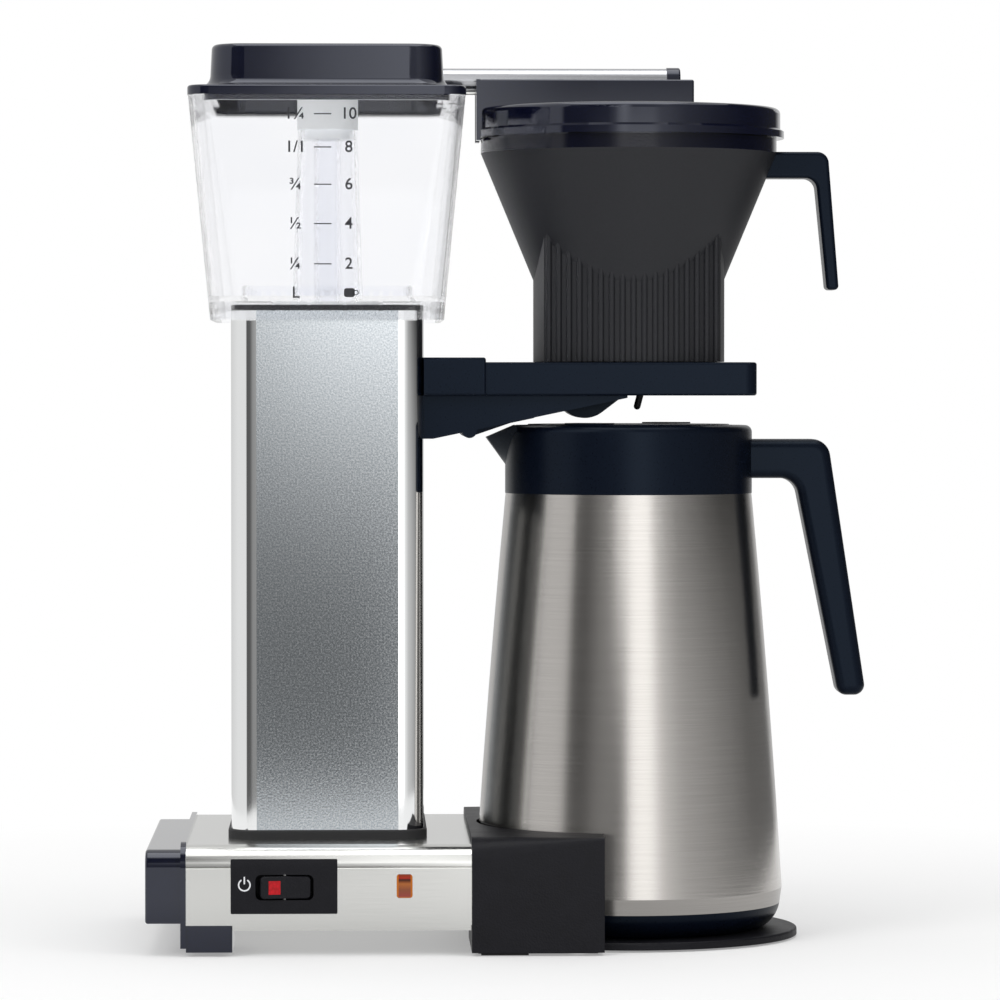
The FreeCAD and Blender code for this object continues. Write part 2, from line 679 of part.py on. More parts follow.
def plate_tongue(gap, z0, z1):
    """Part of the carafe plate that closes the cradle from below."""
    y = BASE_DEPTH / 2 + CRADLE_PROUD - CRADLE_WALL - FIT_GAP + gap
    x0 = CRADLE_X0 + CRADLE_WALL + FIT_GAP - gap
    return box(x0, CARAFE_X, -y, y, z0, z1).common(cradle_block(CRADLE_WALL + FIT_GAP - gap, 0))


def carafe_cradle():
    pocket_skin = carafe_pocket(POCKET_GAP + CRADLE_WALL)
    hollow = cradle_block(CRADLE_WALL, 0).cut(pocket_skin)
    cradle = cradle_block(0, CRADLE_BOTTOM).cut([carafe_pocket(POCKET_GAP), hollow])
    cradle = cradle.cut(upright(CARAFE_X, 0, 0, PLATE_TOP + FIT_GAP, PLATE_R + FIT_GAP))
    for x, y in cradle_screw_points():
        boss = upright(x, y, PLATE_TOP + FIT_GAP, CRADLE_DECK - CRADLE_WALL, BOSS_R)
        cradle = cradle.fuse(boss.common(cradle_block(CRADLE_WALL / 2, 0)))
        cradle = cradle.cut(upright(x, y, 0, PLATE_TOP + SCREW_LENGTH, SCREW_R))
    return cradle.fuse(spigot(CRADLE_X0 - SPIGOT_LENGTH, CRADLE_X0)).removeSplitter()


def carafe_plate():
    disc = upright(CARAFE_X, 0, PLATE_BOTTOM, PLATE_TOP, PLATE_R)
    disc = disc.makeFillet(BREAK, level_edges(disc, PLATE_TOP))
    plate = disc.cut(box(CRADLE_X0 - PLATE_R, CRADLE_X0 + CRADLE_WALL + FIT_GAP, -PLATE_R, PLATE_R,
                         0, PLATE_TOP))
    plate = plate.fuse(plate_tongue(0, PLATE_BOTTOM, PLATE_TOP))
    for x, y in cradle_screw_points():
        plate = plate.cut([upright(x, y, 0, PLATE_TOP + BREAK, SCREW_HOLE_R),
                           upright(x, y, 0, PLATE_BOTTOM + SCREW_HEAD, SCREW_HEAD_R + FIT_GAP)])
    return plate.removeSplitter()


def screw_up(x, y, under):
    """Screw driven upwards with its head just below height under."""
    shank = upright(x, y, under, under + SCREW_LENGTH - BREAK, SCREW_R)
    return shank.fuse(upright(x, y, under - SCREW_HEAD, under, SCREW_HEAD_R)).removeSplitter()


def case_screws():
    screws = [screw_up(x, y, PAN_BOTTOM) for x, y in pan_screw_points()]
    screws += [screw_up(x, y, PLATE_BOTTOM + SCREW_HEAD) for x, y in cradle_screw_points()]
    return Part.makeCompound(screws)


def switch_panel():
    r = BASE_EDGE_R
    yc = FRONT + r
    zc = panel_top()
    a = math.radians(PANEL_WRAP)
    half = a / 2
    outer = r + PANEL_THICK

    def at(radius, angle):
        return (yc - radius * math.cos(angle), zc + radius * math.sin(angle))

    x0 = PANEL_X - PANEL_WIDTH / 2
    wire = outline(lambda b, z: V(x0, b, z), (FRONT, PANEL_BOTTOM), (FRONT, zc), (at(r, half), at(r, a)),
                   at(outer, a), (at(outer, half), at(outer, 0)), (FRONT - PANEL_THICK, PANEL_BOTTOM))
    panel = Part.Face(wire).extrude(V(PANEL_WIDTH, 0, 0))
    ends = edges_where(panel, lambda b: b.XLength < 1e-3 and b.ZLength < PANEL_THICK
                       and b.YLength > PANEL_THICK / 2)
    panel = panel.makeFillet(PANEL_CORNER_R, ends)
    return panel.cut(well_block(FRONT - PANEL_THICK - BREAK, FRONT + BREAK))


def well_block(y0, y1):
    """Space in which the rocker sits, with rounded corners, between two depths."""
    a = WELL_WIDTH / 2
    b = WELL_HEIGHT / 2
    block = box(WELL_X - a, WELL_X + a, y0, y1, WELL_Z - b, WELL_Z + b)
    return block.makeFillet(WELL_CORNER_R, edges_where(block, lambda e: e.YLength > BREAK))


def rocker_pivot_y():
    return FRONT - PANEL_THICK + ROCKER_PIVOT


def switch_body():
    a = WELL_WIDTH / 2
    b = WELL_HEIGHT / 2
    w = SWITCH_WALL
    body = box(WELL_X - a - w, WELL_X + a + w, FRONT, FRONT + SWITCH_DEPTH, WELL_Z - b - w, WELL_Z + b + w)
    body = body.cut(well_block(FRONT - BREAK, FRONT + SWITCH_WELL))
    reach = b + w + BREAK
    return body.cut(upright(WELL_X, rocker_pivot_y(), WELL_Z - reach, WELL_Z + reach, ROCKER_PIN_R))


def rocker_pin():
    half = WELL_HEIGHT / 2 + SWITCH_WALL
    return upright(WELL_X, rocker_pivot_y(), WELL_Z - half, WELL_Z + half, ROCKER_PIN_R)


def tilted(shape):
    """Turn a rocker piece to its rest position, with its right end pressed in."""
    return shape.rotate(V(WELL_X, rocker_pivot_y(), 0), V(0, 0, 1), ROCKER_TILT)


def power_rocker():
    a = WELL_WIDTH / 2 - ROCKER_GAP_X
    b = WELL_HEIGHT / 2 - ROCKER_GAP_Z
    face = FRONT - PANEL_THICK
    wire = outline(lambda x, y: V(WELL_X + x, y, WELL_Z - b),
                   (-a, face - ROCKER_END_RISE), (0, face - ROCKER_MIDDLE_RISE), (a, face - ROCKER_END_RISE),
                   (a, face + ROCKER_THICK), (-a, face + ROCKER_THICK))
    rocker = Part.Face(wire).extrude(V(0, 0, 2 * b))
    ends = edges_where(rocker, lambda e: e.YLength > ROCKER_THICK and e.ZLength < 1e-3)
    rocker = rocker.makeFillet(WELL_CORNER_R - ROCKER_GAP_Z, ends)
    long_edges = edges_where(rocker, lambda e: e.YMax < face and e.XLength > a / 2)
    rocker = rocker.makeFillet(ROCKER_GAP_Z, long_edges)
    pivot = rocker_pivot_y()
    rocker = rocker.fuse(upright(WELL_X, pivot, WELL_Z - b, WELL_Z + b, ROCKER_LUG_R))
    rocker = rocker.cut(upright(WELL_X, pivot, WELL_Z - b - BREAK, WELL_Z + b + BREAK,
                                ROCKER_PIN_R + PIN_GAP))
    return tilted(rocker.cut(lens_block()).removeSplitter())


def lens_block():
    face = FRONT - PANEL_THICK - ROCKER_MIDDLE_RISE
    slope = (ROCKER_END_RISE - ROCKER_MIDDLE_RISE) / (WELL_WIDTH / 2 - ROCKER_GAP_X)
    x0 = LENS_OFFSET - LENS_SIZE / 2
    x1 = LENS_OFFSET + LENS_SIZE / 2
    wire = outline(lambda x, y: V(WELL_X + x, y, WELL_Z - LENS_HEIGHT / 2),
                   (x0, face + slope * x0 - LENS_PROUD), (x1, face + slope * x1 - LENS_PROUD),
                   (x1, face + LENS_DEPTH), (x0, face + LENS_DEPTH))
    return Part.Face(wire).extrude(V(0, 0, LENS_HEIGHT))


def rocker_lens():
    return tilted(lens_block())


def lamp_block(rim, y0, y1):
    """Upright rounded block of the lamp's shape, drawn in by rim, between two depths."""
    a = LAMP_WIDTH / 2 - rim
    b = LAMP_HEIGHT / 2 - rim
    block = box(LAMP_X - a, LAMP_X + a, y0, y1, LAMP_Z - b, LAMP_Z + b)
    corner = max(LAMP_CORNER_R - rim, LEAST_CORNER_R)
    return block.makeFillet(corner, edges_where(block, lambda e: e.YLength > (y1 - y0) / 2))


def lamp_lens():
    head = lamp_block(0, FRONT - LAMP_PROUD, FRONT)
    rim = edges_where(head, lambda e: abs(e.YMax - FRONT + LAMP_PROUD) < 1e-3)
    head = head.makeFillet(LAMP_PROUD / 2, rim)
    return head.fuse(lamp_block(LAMP_RIM, FRONT - LAMP_PROUD / 2, FRONT + SHEET)).removeSplitter()


def lamp_holder():
    y0 = FRONT + SHEET
    return lamp_block(0, y0, y0 + LAMP_HOLDER).cut(
        along_y(LAMP_X, y0 - BREAK, y0 + LAMP_HOLDER - SWITCH_WALL, LAMP_Z, LAMP_WIDTH / 2 - SWITCH_WALL))


def cord_gland(proud):
    back = BASE_DEPTH / 2
    gland = along_y(GLAND_X, back, back + proud, GLAND_Z, GLAND_FLANGE_R)
    gland = gland.makeFillet(proud / 2, edges_where(gland, lambda e: abs(e.YMin - back - proud) < 1e-3))
    gland = gland.fuse(along_y(GLAND_X, back - GLAND_NECK, back, GLAND_Z, GLAND_NECK_R))
    return gland.cut(along_y(GLAND_X, back - GLAND_NECK - BREAK, back + proud + BREAK,
                             GLAND_Z, GLAND_BORE_R)).removeSplitter()


def hexagon(place, across):
    r = across / math.sqrt(3)
    points = [place(r * math.cos(math.pi / 3 * n), r * math.sin(math.pi / 3 * n)) for n in range(7)]
    return Part.Face(Part.makePolygon(points))


def gland_nut():
    y = BASE_DEPTH / 2 - SHEET
    nut = hexagon(lambda u, v: V(GLAND_X + u, y, GLAND_Z + v), 2 * GLAND_NUT_R).extrude(V(0, -GLAND_NUT, 0))
    return nut.cut(along_y(GLAND_X, y - GLAND_NUT - BREAK, y + BREAK, GLAND_Z, GLAND_NECK_R))


def terminal_block():
    sx, sy, sz = TERMINAL_SIZE
    z = PAN_BOTTOM + PAN_SHEET
    x0 = GLAND_X - sx / 2
    block = box(x0, x0 + sx, TERMINAL_Y, TERMINAL_Y + sy, z, z + sz)
    pitch = sx / TERMINAL_WAYS
    for n in range(TERMINAL_WAYS):
        x = x0 + pitch * (n + 0.5)
        block = block.cut([along_y(x, TERMINAL_Y - BREAK, TERMINAL_Y + sy + BREAK, z + sz / 3, pitch / 4),
                           upright(x, TERMINAL_Y + sy / 2, z + sz / 3, z + sz + BREAK, pitch / 4)])
    return block


def control_board():
    sx, sy, sz = BOARD_SIZE
    z = PAN_BOTTOM + PAN_SHEET
    top = z + BOARD_POST + sz
    board = box(BOARD_X, BOARD_X + sx, BOARD_Y, BOARD_Y + sy, z + BOARD_POST, top)
    inset_post = 2 * BOARD_POST_R
    for x in (BOARD_X + inset_post, BOARD_X + sx - inset_post):
        for y in (BOARD_Y + inset_post, BOARD_Y + sy - inset_post):
            board = board.fuse(upright(x, y, z, z + BOARD_POST, BOARD_POST_R))
    relay = box(BOARD_X + sx / 4, BOARD_X + sx / 2, BOARD_Y + sy / 3, BOARD_Y + 2 * sy / 3,
                top, top + BOARD_PART)
    capacitor = upright(BOARD_X + 3 * sx / 4, BOARD_Y + sy / 2, top, top + BOARD_PART, 2 * BOARD_POST_R)
    return board.fuse([relay, capacitor]).removeSplitter()


def tower_housing():
    z0 = BASE_TOP - TOWER_SINK
    tube = rounded_block(TOWER_X, tower_size(0), z0, TOWER_TOP)
    tube = tube.cut(rounded_block(TOWER_X, tower_size(SHEET), z0 - BREAK, TOWER_TOP + BREAK))
    side = TOWER_X + TOWER_WIDTH / 2
    for y, z in holder_screw_points():
        tube = tube.cut(along_x(side - SHEET - BREAK, side + BREAK, y, z, SCREW_HOLE_R))
    return tube


def tower_gasket():
    outer = rounded_block(TOWER_X, tower_size(-GASKET_PROUD), BASE_TOP, BASE_TOP + GASKET_HEIGHT)
    outer = outer.makeFillet(GASKET_EDGE_R, level_edges(outer, BASE_TOP + GASKET_HEIGHT))
    hole = rounded_block(TOWER_X, tower_size(0), BASE_TOP - BREAK, BASE_TOP + GASKET_HEIGHT + BREAK)
    return outer.cut(hole)


def tower_top_cap():
    cap = rounded_block(TOWER_X, tower_size(0), TOWER_TOP, CAP_TOP)
    plug = rounded_block(TOWER_X, tower_size(SHEET + FIT_GAP), TOWER_TOP - TOP_CAP_SPIGOT, TOWER_TOP)
    plug = plug.cut(rounded_block(TOWER_X, tower_size(SHEET + FIT_GAP + SPIGOT_WALL),
                                  TOWER_TOP - TOP_CAP_SPIGOT - BREAK, TOWER_TOP))
    cap = cap.fuse(plug)
    return cap.cut([upright(TOWER_X, 0, TOWER_TOP - BREAK, CAP_TOP + BREAK, THREAD_R + FIT_GAP),
                    upright(TOWER_X, INLET_Y, TOWER_TOP - BREAK, CAP_TOP + BREAK,
                            TUBE_R + FIT_GAP)]).removeSplitter()


def reservoir_size(z):
    t = (z - RESERVOIR_BOTTOM) / RESERVOIR_HEIGHT
    return tuple(a + (b - a) * t for a, b in zip(RESERVOIR_FOOT_SIZE, RESERVOIR_TOP_SIZE))


def reservoir_space(z0, z1):
    """Inside of the reservoir's wall between two heights."""
    low = inset(reservoir_size(z0), RESERVOIR_WALL)
    high = inset(reservoir_size(z1), RESERVOIR_WALL)
    return tapered_block(TOWER_X, low, z0, high, z1)


def reservoir():
    tank = tapered_block(TOWER_X, RESERVOIR_FOOT_SIZE, RESERVOIR_BOTTOM, RESERVOIR_TOP_SIZE, RESERVOIR_TOP)
    tank = tank.cut([reservoir_space(FLOOR_TOP, RESERVOIR_TOP + BREAK),
                     reservoir_space(RESERVOIR_BOTTOM - BREAK, FLOOR_UNDER)])
    thread_end = TOWER_TOP - NUT_THICK - BREAK
    rise = CHIMNEY_TOP - FLOOR_UNDER
    foot = V(TOWER_X, 0, FLOOR_UNDER)
    chimney = Part.makeCone(CHIMNEY_FOOT_R, CHIMNEY_TOP_R, rise, foot)
    thread = upright(TOWER_X, 0, thread_end, FLOOR_UNDER, THREAD_R)
    outlet = upright(TOWER_X, INLET_Y, FLOOR_UNDER - OUTLET_LENGTH - HOSE_GRIP, FLOOR_UNDER, TUBE_R)
    tank = tank.fuse([chimney, thread, outlet, outlet_fence()] + reservoir_ribs())
    bore = Part.makeCone(CHIMNEY_FOOT_R - CHIMNEY_WALL, CHIMNEY_TOP_R - CHIMNEY_WALL, rise, foot)
    tank = tank.cut([bore, upright(TOWER_X, 0, thread_end - BREAK, FLOOR_TOP, THREAD_R - THREAD_WALL),
                     upright(TOWER_X, INLET_Y, RESERVOIR_BOTTOM - HOSE_GRIP - BREAK, FLOOR_TOP + BREAK,
                             OUTLET_BORE_R)])
    return tank.removeSplitter()


def outlet_fence():
    """Low slotted wall on the floor that keeps scale away from the outlet."""
    top = FLOOR_TOP + FENCE_HEIGHT
    fence = rounded_block(TOWER_X, FENCE_SIZE, FLOOR_UNDER, top)
    fence = fence.cut(rounded_block(TOWER_X, inset(FENCE_SIZE, FENCE_WALL), FLOOR_UNDER - BREAK, top + BREAK))
    reach = FENCE_SIZE[1]
    slots = []
    for n in range(FENCE_SLOTS):
        x = TOWER_X + FENCE_SLOT_PITCH * (n - (FENCE_SLOTS - 1) / 2)
        slots.append(box(x - FENCE_SLOT / 2, x + FENCE_SLOT / 2, -reach, reach, FLOOR_TOP,
                         FLOOR_TOP + FENCE_SLOT_HEIGHT))
    return fence.cut(slots)


def reservoir_ribs():
    """Ribs under the floor that hold the skirt square on the tower."""
    ribs = []
    space = reservoir_space(RESERVOIR_BOTTOM, FLOOR_UNDER)
    pitch = (TOWER_WIDTH - 2 * TOWER_CORNER_R) / RESERVOIR_RIBS
    near = TOWER_DEPTH / 2 + FIT_GAP
    far = RESERVOIR_TOP_SIZE[1] / 2
    for n in range(RESERVOIR_RIBS):
        x = TOWER_X + pitch * (n - (RESERVOIR_RIBS - 1) / 2)
        for y0, y1 in ((-far, -near), (near, far)):
            rib = box(x - RESERVOIR_RIB / 2, x + RESERVOIR_RIB / 2, y0, y1,
                      RESERVOIR_BOTTOM + RESERVOIR_OVERLAP / 2, FLOOR_UNDER)
            ribs.append(rib.common(space))
    return ribs


def reservoir_gasket():
    return ring(TOWER_X, 0, CAP_TOP, FLOOR_UNDER, SEAT_GASKET_R, THREAD_R)


def reservoir_nut():
    z = TOWER_TOP - NUT_THICK
    nut = hexagon(lambda u, v: V(TOWER_X + u, v, z), NUT_ACROSS).extrude(V(0, 0, NUT_THICK))
    return nut.cut(upright(TOWER_X, 0, z - BREAK, TOWER_TOP + BREAK, THREAD_R))


def inlet_hose():
    top = FLOOR_UNDER - OUTLET_LENGTH
    upper = ring(TOWER_X, INLET_Y, VALVE_Z + VALVE_BODY_HALF, top, HOSE_R, TUBE_R)
    lower = ring(TOWER_X, INLET_Y, BOILER_RISE - HOSE_GRIP, VALVE_Z - VALVE_BODY_HALF, HOSE_R, TUBE_R)
    return Part.makeCompound([upper, lower])


def check_valve_body():
    body = upright(TOWER_X, INLET_Y, VALVE_Z - VALVE_HALF, VALVE_Z + VALVE_HALF, TUBE_R)
    body = body.fuse(upright(TOWER_X, INLET_Y, VALVE_Z - VALVE_BODY_HALF, VALVE_Z + VALVE_BODY_HALF,
                             VALVE_BODY_R))
    seat = VALVE_Z - BALL_R - SLIDE_GAP
    cage = upright(TOWER_X, INLET_Y, seat, VALVE_Z + BALL_R + BALL_LIFT + SLIDE_GAP, BALL_CAGE_R)
    port = upright(TOWER_X, INLET_Y, VALVE_Z - VALVE_HALF - BREAK, VALVE_Z + VALVE_HALF + BREAK, BALL_PORT_R)
    return body.cut([cage, port]).removeSplitter()


def check_ball():
    return Part.makeSphere(BALL_R, V(TOWER_X, INLET_Y, VALVE_Z))


def arc_edge(a, b, c):
    return Part.Arc(a, b, c).toShape()


def line_edge(a, b):
    return Part.LineSegment(a, b).toShape()


def boiler_path(z, upright_ends):
    """Centre line of the boiler: down from the inlet, a return bend on the left, up to the riser."""
    r = BOILER_BEND_R
    k = r * (1 - math.sqrt(0.5))
    left = TOWER_X - BOILER_LEFT
    bend = INLET_Y / 2
    run_end = TOWER_X - r
    edges = []
    if upright_ends:
        edges.append(line_edge(V(TOWER_X, INLET_Y, BOILER_RISE), V(TOWER_X, INLET_Y, z + r)))
        edges.append(arc_edge(V(TOWER_X, INLET_Y, z + r), V(TOWER_X - k, INLET_Y, z + k),
                              V(run_end, INLET_Y, z)))
    else:
        edges.append(line_edge(V(run_end + ELEMENT_TAIL, INLET_Y, z), V(run_end, INLET_Y, z)))
    edges.append(line_edge(V(run_end, INLET_Y, z), V(left, INLET_Y, z)))
    edges.append(arc_edge(V(left, INLET_Y, z), V(left - bend, bend, z), V(left, 0, z)))
    edges.append(line_edge(V(left, 0, z), V(run_end, 0, z)))
    if upright_ends:
        edges.append(arc_edge(V(run_end, 0, z), V(TOWER_X - k, 0, z + k), V(TOWER_X, 0, z + r)))
        edges.append(line_edge(V(TOWER_X, 0, z + r), V(TOWER_X, 0, BOILER_RISE)))
    else:
        edges.append(line_edge(V(run_end, 0, z), V(run_end + ELEMENT_TAIL, 0, z)))
    return Part.Wire(edges)


def swept(path, radius):
    start = path.Edges[0]
    point = start.valueAt(start.FirstParameter)
    direction = start.tangentAt(start.FirstParameter)
    section = Part.Wire(Part.makeCircle(radius, point, direction))
    return path.makePipeShell([section], True, True)


def boiler_tube():
    path = boiler_path(BOILER_Z, True)
    return swept(path, TUBE_R).cut(swept(path, TUBE_R - TUBE_WALL))


def heating_element():
    return swept(boiler_path(BOILER_Z - TUBE_R - ELEMENT_R, False), ELEMENT_R)


def thermostat():
    z = BOILER_Z
    can = upright(THERMOSTAT_X, 0, z, z + TUBE_R + THERMOSTAT_HEIGHT, THERMOSTAT_R)
    return can.cut(along_x(THERMOSTAT_X - 2 * THERMOSTAT_R, THERMOSTAT_X + 2 * THERMOSTAT_R, 0, z, TUBE_R))


def thermal_fuse():
    return along_x(FUSE_X - FUSE_LENGTH, FUSE_X, INLET_Y, BOILER_Z + TUBE_R + FUSE_R, FUSE_R)


def riser_tube():
    return ring(TOWER_X, 0, BOILER_RISE, GLASS_TOP, GLASS_R, GLASS_BORE_R)


def riser_coupler():
    z = BOILER_RISE
    sleeve = upright(TOWER_X, 0, z - COUPLER_HALF, z + COUPLER_HALF, COUPLER_R)
    return sleeve.cut([upright(TOWER_X, 0, z - COUPLER_HALF - BREAK, z, TUBE_R),
                       upright(TOWER_X, 0, z - BREAK, z + COUPLER_HALF + BREAK, GLASS_R)])


def arm_connector():
    plug_r = CHIMNEY_TOP_R - CHIMNEY_WALL - FIT_GAP
    body = turned(TOWER_X, (0, CHIMNEY_TOP - CONNECTOR_PLUG), (plug_r, CHIMNEY_TOP - CONNECTOR_PLUG),
                  (plug_r, CHIMNEY_TOP), (CONNECTOR_R, CHIMNEY_TOP), (CONNECTOR_R, CONNECTOR_TOP),
                  (0, CONNECTOR_TOP))
    body = body.makeFillet(BREAK, level_edges(body, CONNECTOR_TOP))
    return body.cut([upright(TOWER_X, 0, CHIMNEY_TOP - CONNECTOR_PLUG - BREAK, GLASS_TOP, GLASS_R),
                     upright(TOWER_X, 0, GLASS_TOP - BREAK, CONNECTOR_TOP + BREAK, ELBOW_SPIGOT_R + PIN_GAP)])


def outlet_elbow():
    foot = CONNECTOR_TOP + SLIDE_GAP
    head = upright(TOWER_X, 0, foot, SPRAY_Z + ELBOW_CROWN, ELBOW_R)
    head = head.makeFillet(2 * BREAK, level_edges(head, SPRAY_Z + ELBOW_CROWN))
    elbow = head.fuse([along_x(TOWER_X, TOWER_X + ELBOW_SOCKET, 0, SPRAY_Z, ELBOW_SOCKET_R),
                       upright(TOWER_X, 0, CONNECTOR_TOP - ELBOW_SPIGOT, foot, ELBOW_SPIGOT_R)])
    elbow = elbow.cut([upright(TOWER_X, 0, CONNECTOR_TOP - ELBOW_SPIGOT - BREAK, SPRAY_Z, ELBOW_BORE_R),
                       along_x(TOWER_X, TOWER_X + ELBOW_STOP + BREAK, 0, SPRAY_Z, ELBOW_BORE_R),
                       along_x(TOWER_X + ELBOW_STOP, TOWER_X + ELBOW_SOCKET + BREAK, 0, SPRAY_Z, SPRAY_R)])
    return elbow.removeSplitter()


def spray_end():
    """Right end of the spray tube, inside its cap."""
    return CARAFE_X + SPRAY_REACH - SPRAY_CAP / 4


def outlet_tube():
    x0 = TOWER_X + ELBOW_STOP
    x1 = spray_end()
    tube = along_x(x0, x1, 0, SPRAY_Z, SPRAY_R)
    tube = tube.cut(along_x(x0 - BREAK, x1 + BREAK, 0, SPRAY_Z, SPRAY_R - SPRAY_WALL))
    first = CARAFE_X - SPRAY_HOLE_PITCH * (SPRAY_HOLES - 1) / 2 - SPRAY_CAP / 2
    holes = [upright(first + n * SPRAY_HOLE_PITCH, 0, SPRAY_Z - SPRAY_R - BREAK, SPRAY_Z, SPRAY_HOLE_R)
             for n in range(SPRAY_HOLES)]
    return tube.cut(holes)


def outlet_tube_cap():
    x1 = CARAFE_X + SPRAY_REACH
    x0 = x1 - SPRAY_CAP
    cap = along_x(x0, x1, 0, SPRAY_Z, SPRAY_R + SPRAY_CAP_WALL)
    cap = cap.makeFillet(BREAK, edges_where(cap, lambda b: abs(b.XMin - x1) < 1e-3))
    return cap.cut(along_x(x0 - BREAK, spray_end(), 0, SPRAY_Z, SPRAY_R))


def arm_wire():
    return along_x(TOWER_X + ELBOW_SOCKET, CARAFE_X - WIRE_END, 0, SPRAY_Z - SPRAY_R - WIRE_R, WIRE_R)


def reservoir_lid():
    z0 = RESERVOIR_TOP + SLIDE_GAP
    z1 = z0 + LID_FLANGE
    top = z1 + DOME_HEIGHT
    flange = rounded_block(TOWER_X, inset(RESERVOIR_TOP_SIZE, -LID_FLANGE_PROUD), z0, z1)
    flange = flange.makeFillet(LID_FLANGE_EDGE_R, level_edges(flange, z1))
    dome = tapered_block(TOWER_X, DOME_FOOT_SIZE, z1 - LID_FLANGE_EDGE_R, DOME_TOP_SIZE, top)
    dome = dome.makeFillet(DOME_EDGE_R, level_edges(dome, top))
    lid = flange.fuse(dome)
    seam = edges_where(lid, lambda b: abs(b.ZMin - z1) < 1e-3 and abs(b.ZMax - z1) < 1e-3
                       and abs((b.XMin + b.XMax) / 2 - TOWER_X) <= DOME_FOOT_SIZE[0] / 2
                       and max(abs(b.YMin), abs(b.YMax)) <= DOME_FOOT_SIZE[1] / 2)
    lid = lid.makeFillet(DOME_FLARE_R, seam)
    skirt = rounded_block(TOWER_X, LID_SKIRT_SIZE, z0 - LID_SKIRT, z0)
    skirt = skirt.cut(rounded_block(TOWER_X, inset(LID_SKIRT_SIZE, DOME_WALL), z0 - LID_SKIRT - BREAK, z0))
    hollow = tapered_block(TOWER_X, inset(DOME_FOOT_SIZE, DOME_WALL), z0 - BREAK,
                           inset(DOME_TOP_SIZE, DOME_WALL), top - DOME_WALL)
    half = SPRAY_R + NOTCH_GAP
    reach = RESERVOIR_TOP_SIZE[0]
    notch = box(TOWER_X, TOWER_X + reach, -half, half, z0 - LID_SKIRT - BREAK, SPRAY_Z)
    notch = notch.fuse(along_x(TOWER_X, TOWER_X + reach, 0, SPRAY_Z, half))
    return lid.fuse(skirt).cut([hollow, notch]).removeSplitter()


def holder_screw_points():
    return [(side * HOLDER_SCREW_Y, z) for side in (-1, 1)
            for z in (HOLDER_BOTTOM + HOLDER_THICK / 2, HOLDER_BOTTOM - BRACKET_DROP / 2)]


def basket_holder():
    side = TOWER_X + TOWER_WIDTH / 2
    root_end = side + HOLDER_ROOT
    tip = CARAFE_X + HOLDER_REACH
    root = box(side, root_end, -HOLDER_ROOT_HALF, HOLDER_ROOT_HALF,
               HOLDER_BOTTOM, HOLDER_TOP + HOLDER_ROOT_RISE)
    free = edges_where(root, lambda b: b.XMin > side + BREAK or b.XLength > BREAK)
    root = root.makeFillet(HOLDER_EDGE_R, free)
    pieces = []
    for y0, y1 in ((-PRONG_OUTER, -PRONG_INNER), (PRONG_INNER, PRONG_OUTER)):
        prong = box(root_end - HOLDER_ROOT / 2, tip, y0, y1, HOLDER_BOTTOM, HOLDER_TOP)
        ends = edges_where(prong, lambda b: b.ZLength > BREAK and b.XMin > tip - BREAK)
        prong = prong.makeFillet(PRONG_TIP_R, ends)
        rims = level_edges(prong, HOLDER_TOP) + level_edges(prong, HOLDER_BOTTOM)
        rims = [e for e in rims if e.BoundBox.XMax > root_end]
        pieces.append(prong.makeFillet(HOLDER_EDGE_R, rims))
    holder = root.fuse(pieces)
    z = HOLDER_BOTTOM + HOLDER_THICK / 2
    for y in (-HOLDER_SCREW_Y, HOLDER_SCREW_Y):
        holder = holder.cut(along_x(side - BREAK, side + SCREW_LENGTH - SHEET, y, z, SCREW_R))
    return holder.removeSplitter()


def lever_pivot():
    return (TOWER_X + TOWER_WIDTH / 2 + LEVER_PIVOT_X, HOLDER_BOTTOM - LEVER_PIVOT_DROP)


def holder_bracket():
    side = TOWER_X + TOWER_WIDTH / 2
    low = HOLDER_BOTTOM - BRACKET_DROP
    end = CARAFE_X - BRACKET_END
    px, pz = lever_pivot()
    bracket = box(side, side + BRACKET_BACK, -BRACKET_OUTER, BRACKET_OUTER, low, HOLDER_BOTTOM)
    plates = []
    for y0 in (-BRACKET_OUTER, BRACKET_OUTER - BRACKET_PLATE):
        y1 = y0 + BRACKET_PLATE
        plates.append(plate_xz(y0, y1, (side, low), (side + BRACKET_BACK, low), (end, HOLDER_BOTTOM - BREAK),
                               (end, HOLDER_BOTTOM), (side, HOLDER_BOTTOM)))
        plates.append(along_y(px, y0, y1, pz, LEVER_EAR_R))
    bracket = bracket.fuse(plates)
    bracket = bracket.cut(along_y(px, -BRACKET_OUTER - BREAK, BRACKET_OUTER + BREAK, pz, LEVER_PIN_R))
    z = HOLDER_BOTTOM - BRACKET_DROP / 2
    for y in (-HOLDER_SCREW_Y, HOLDER_SCREW_Y):
        bracket = bracket.cut(along_x(side - BREAK, side + SCREW_LENGTH, y, z, SCREW_R))
    return bracket.removeSplitter()


def holder_screws():
    inside = TOWER_X + TOWER_WIDTH / 2 - SHEET
    screws = []
    for y, z in holder_screw_points():
        length = SCREW_LENGTH - BREAK if z > HOLDER_BOTTOM else BRACKET_BACK + SHEET
        screw = along_x(inside, inside + length, y, z, SCREW_R)
        screws.append(screw.fuse(along_x(inside - SCREW_HEAD, inside, y, z, SCREW_HEAD_R)).removeSplitter())
    return Part.makeCompound(screws)


def lever_pin():
    px, pz = lever_pivot()
    return along_y(px, -BRACKET_OUTER, BRACKET_OUTER, pz, LEVER_PIN_R)


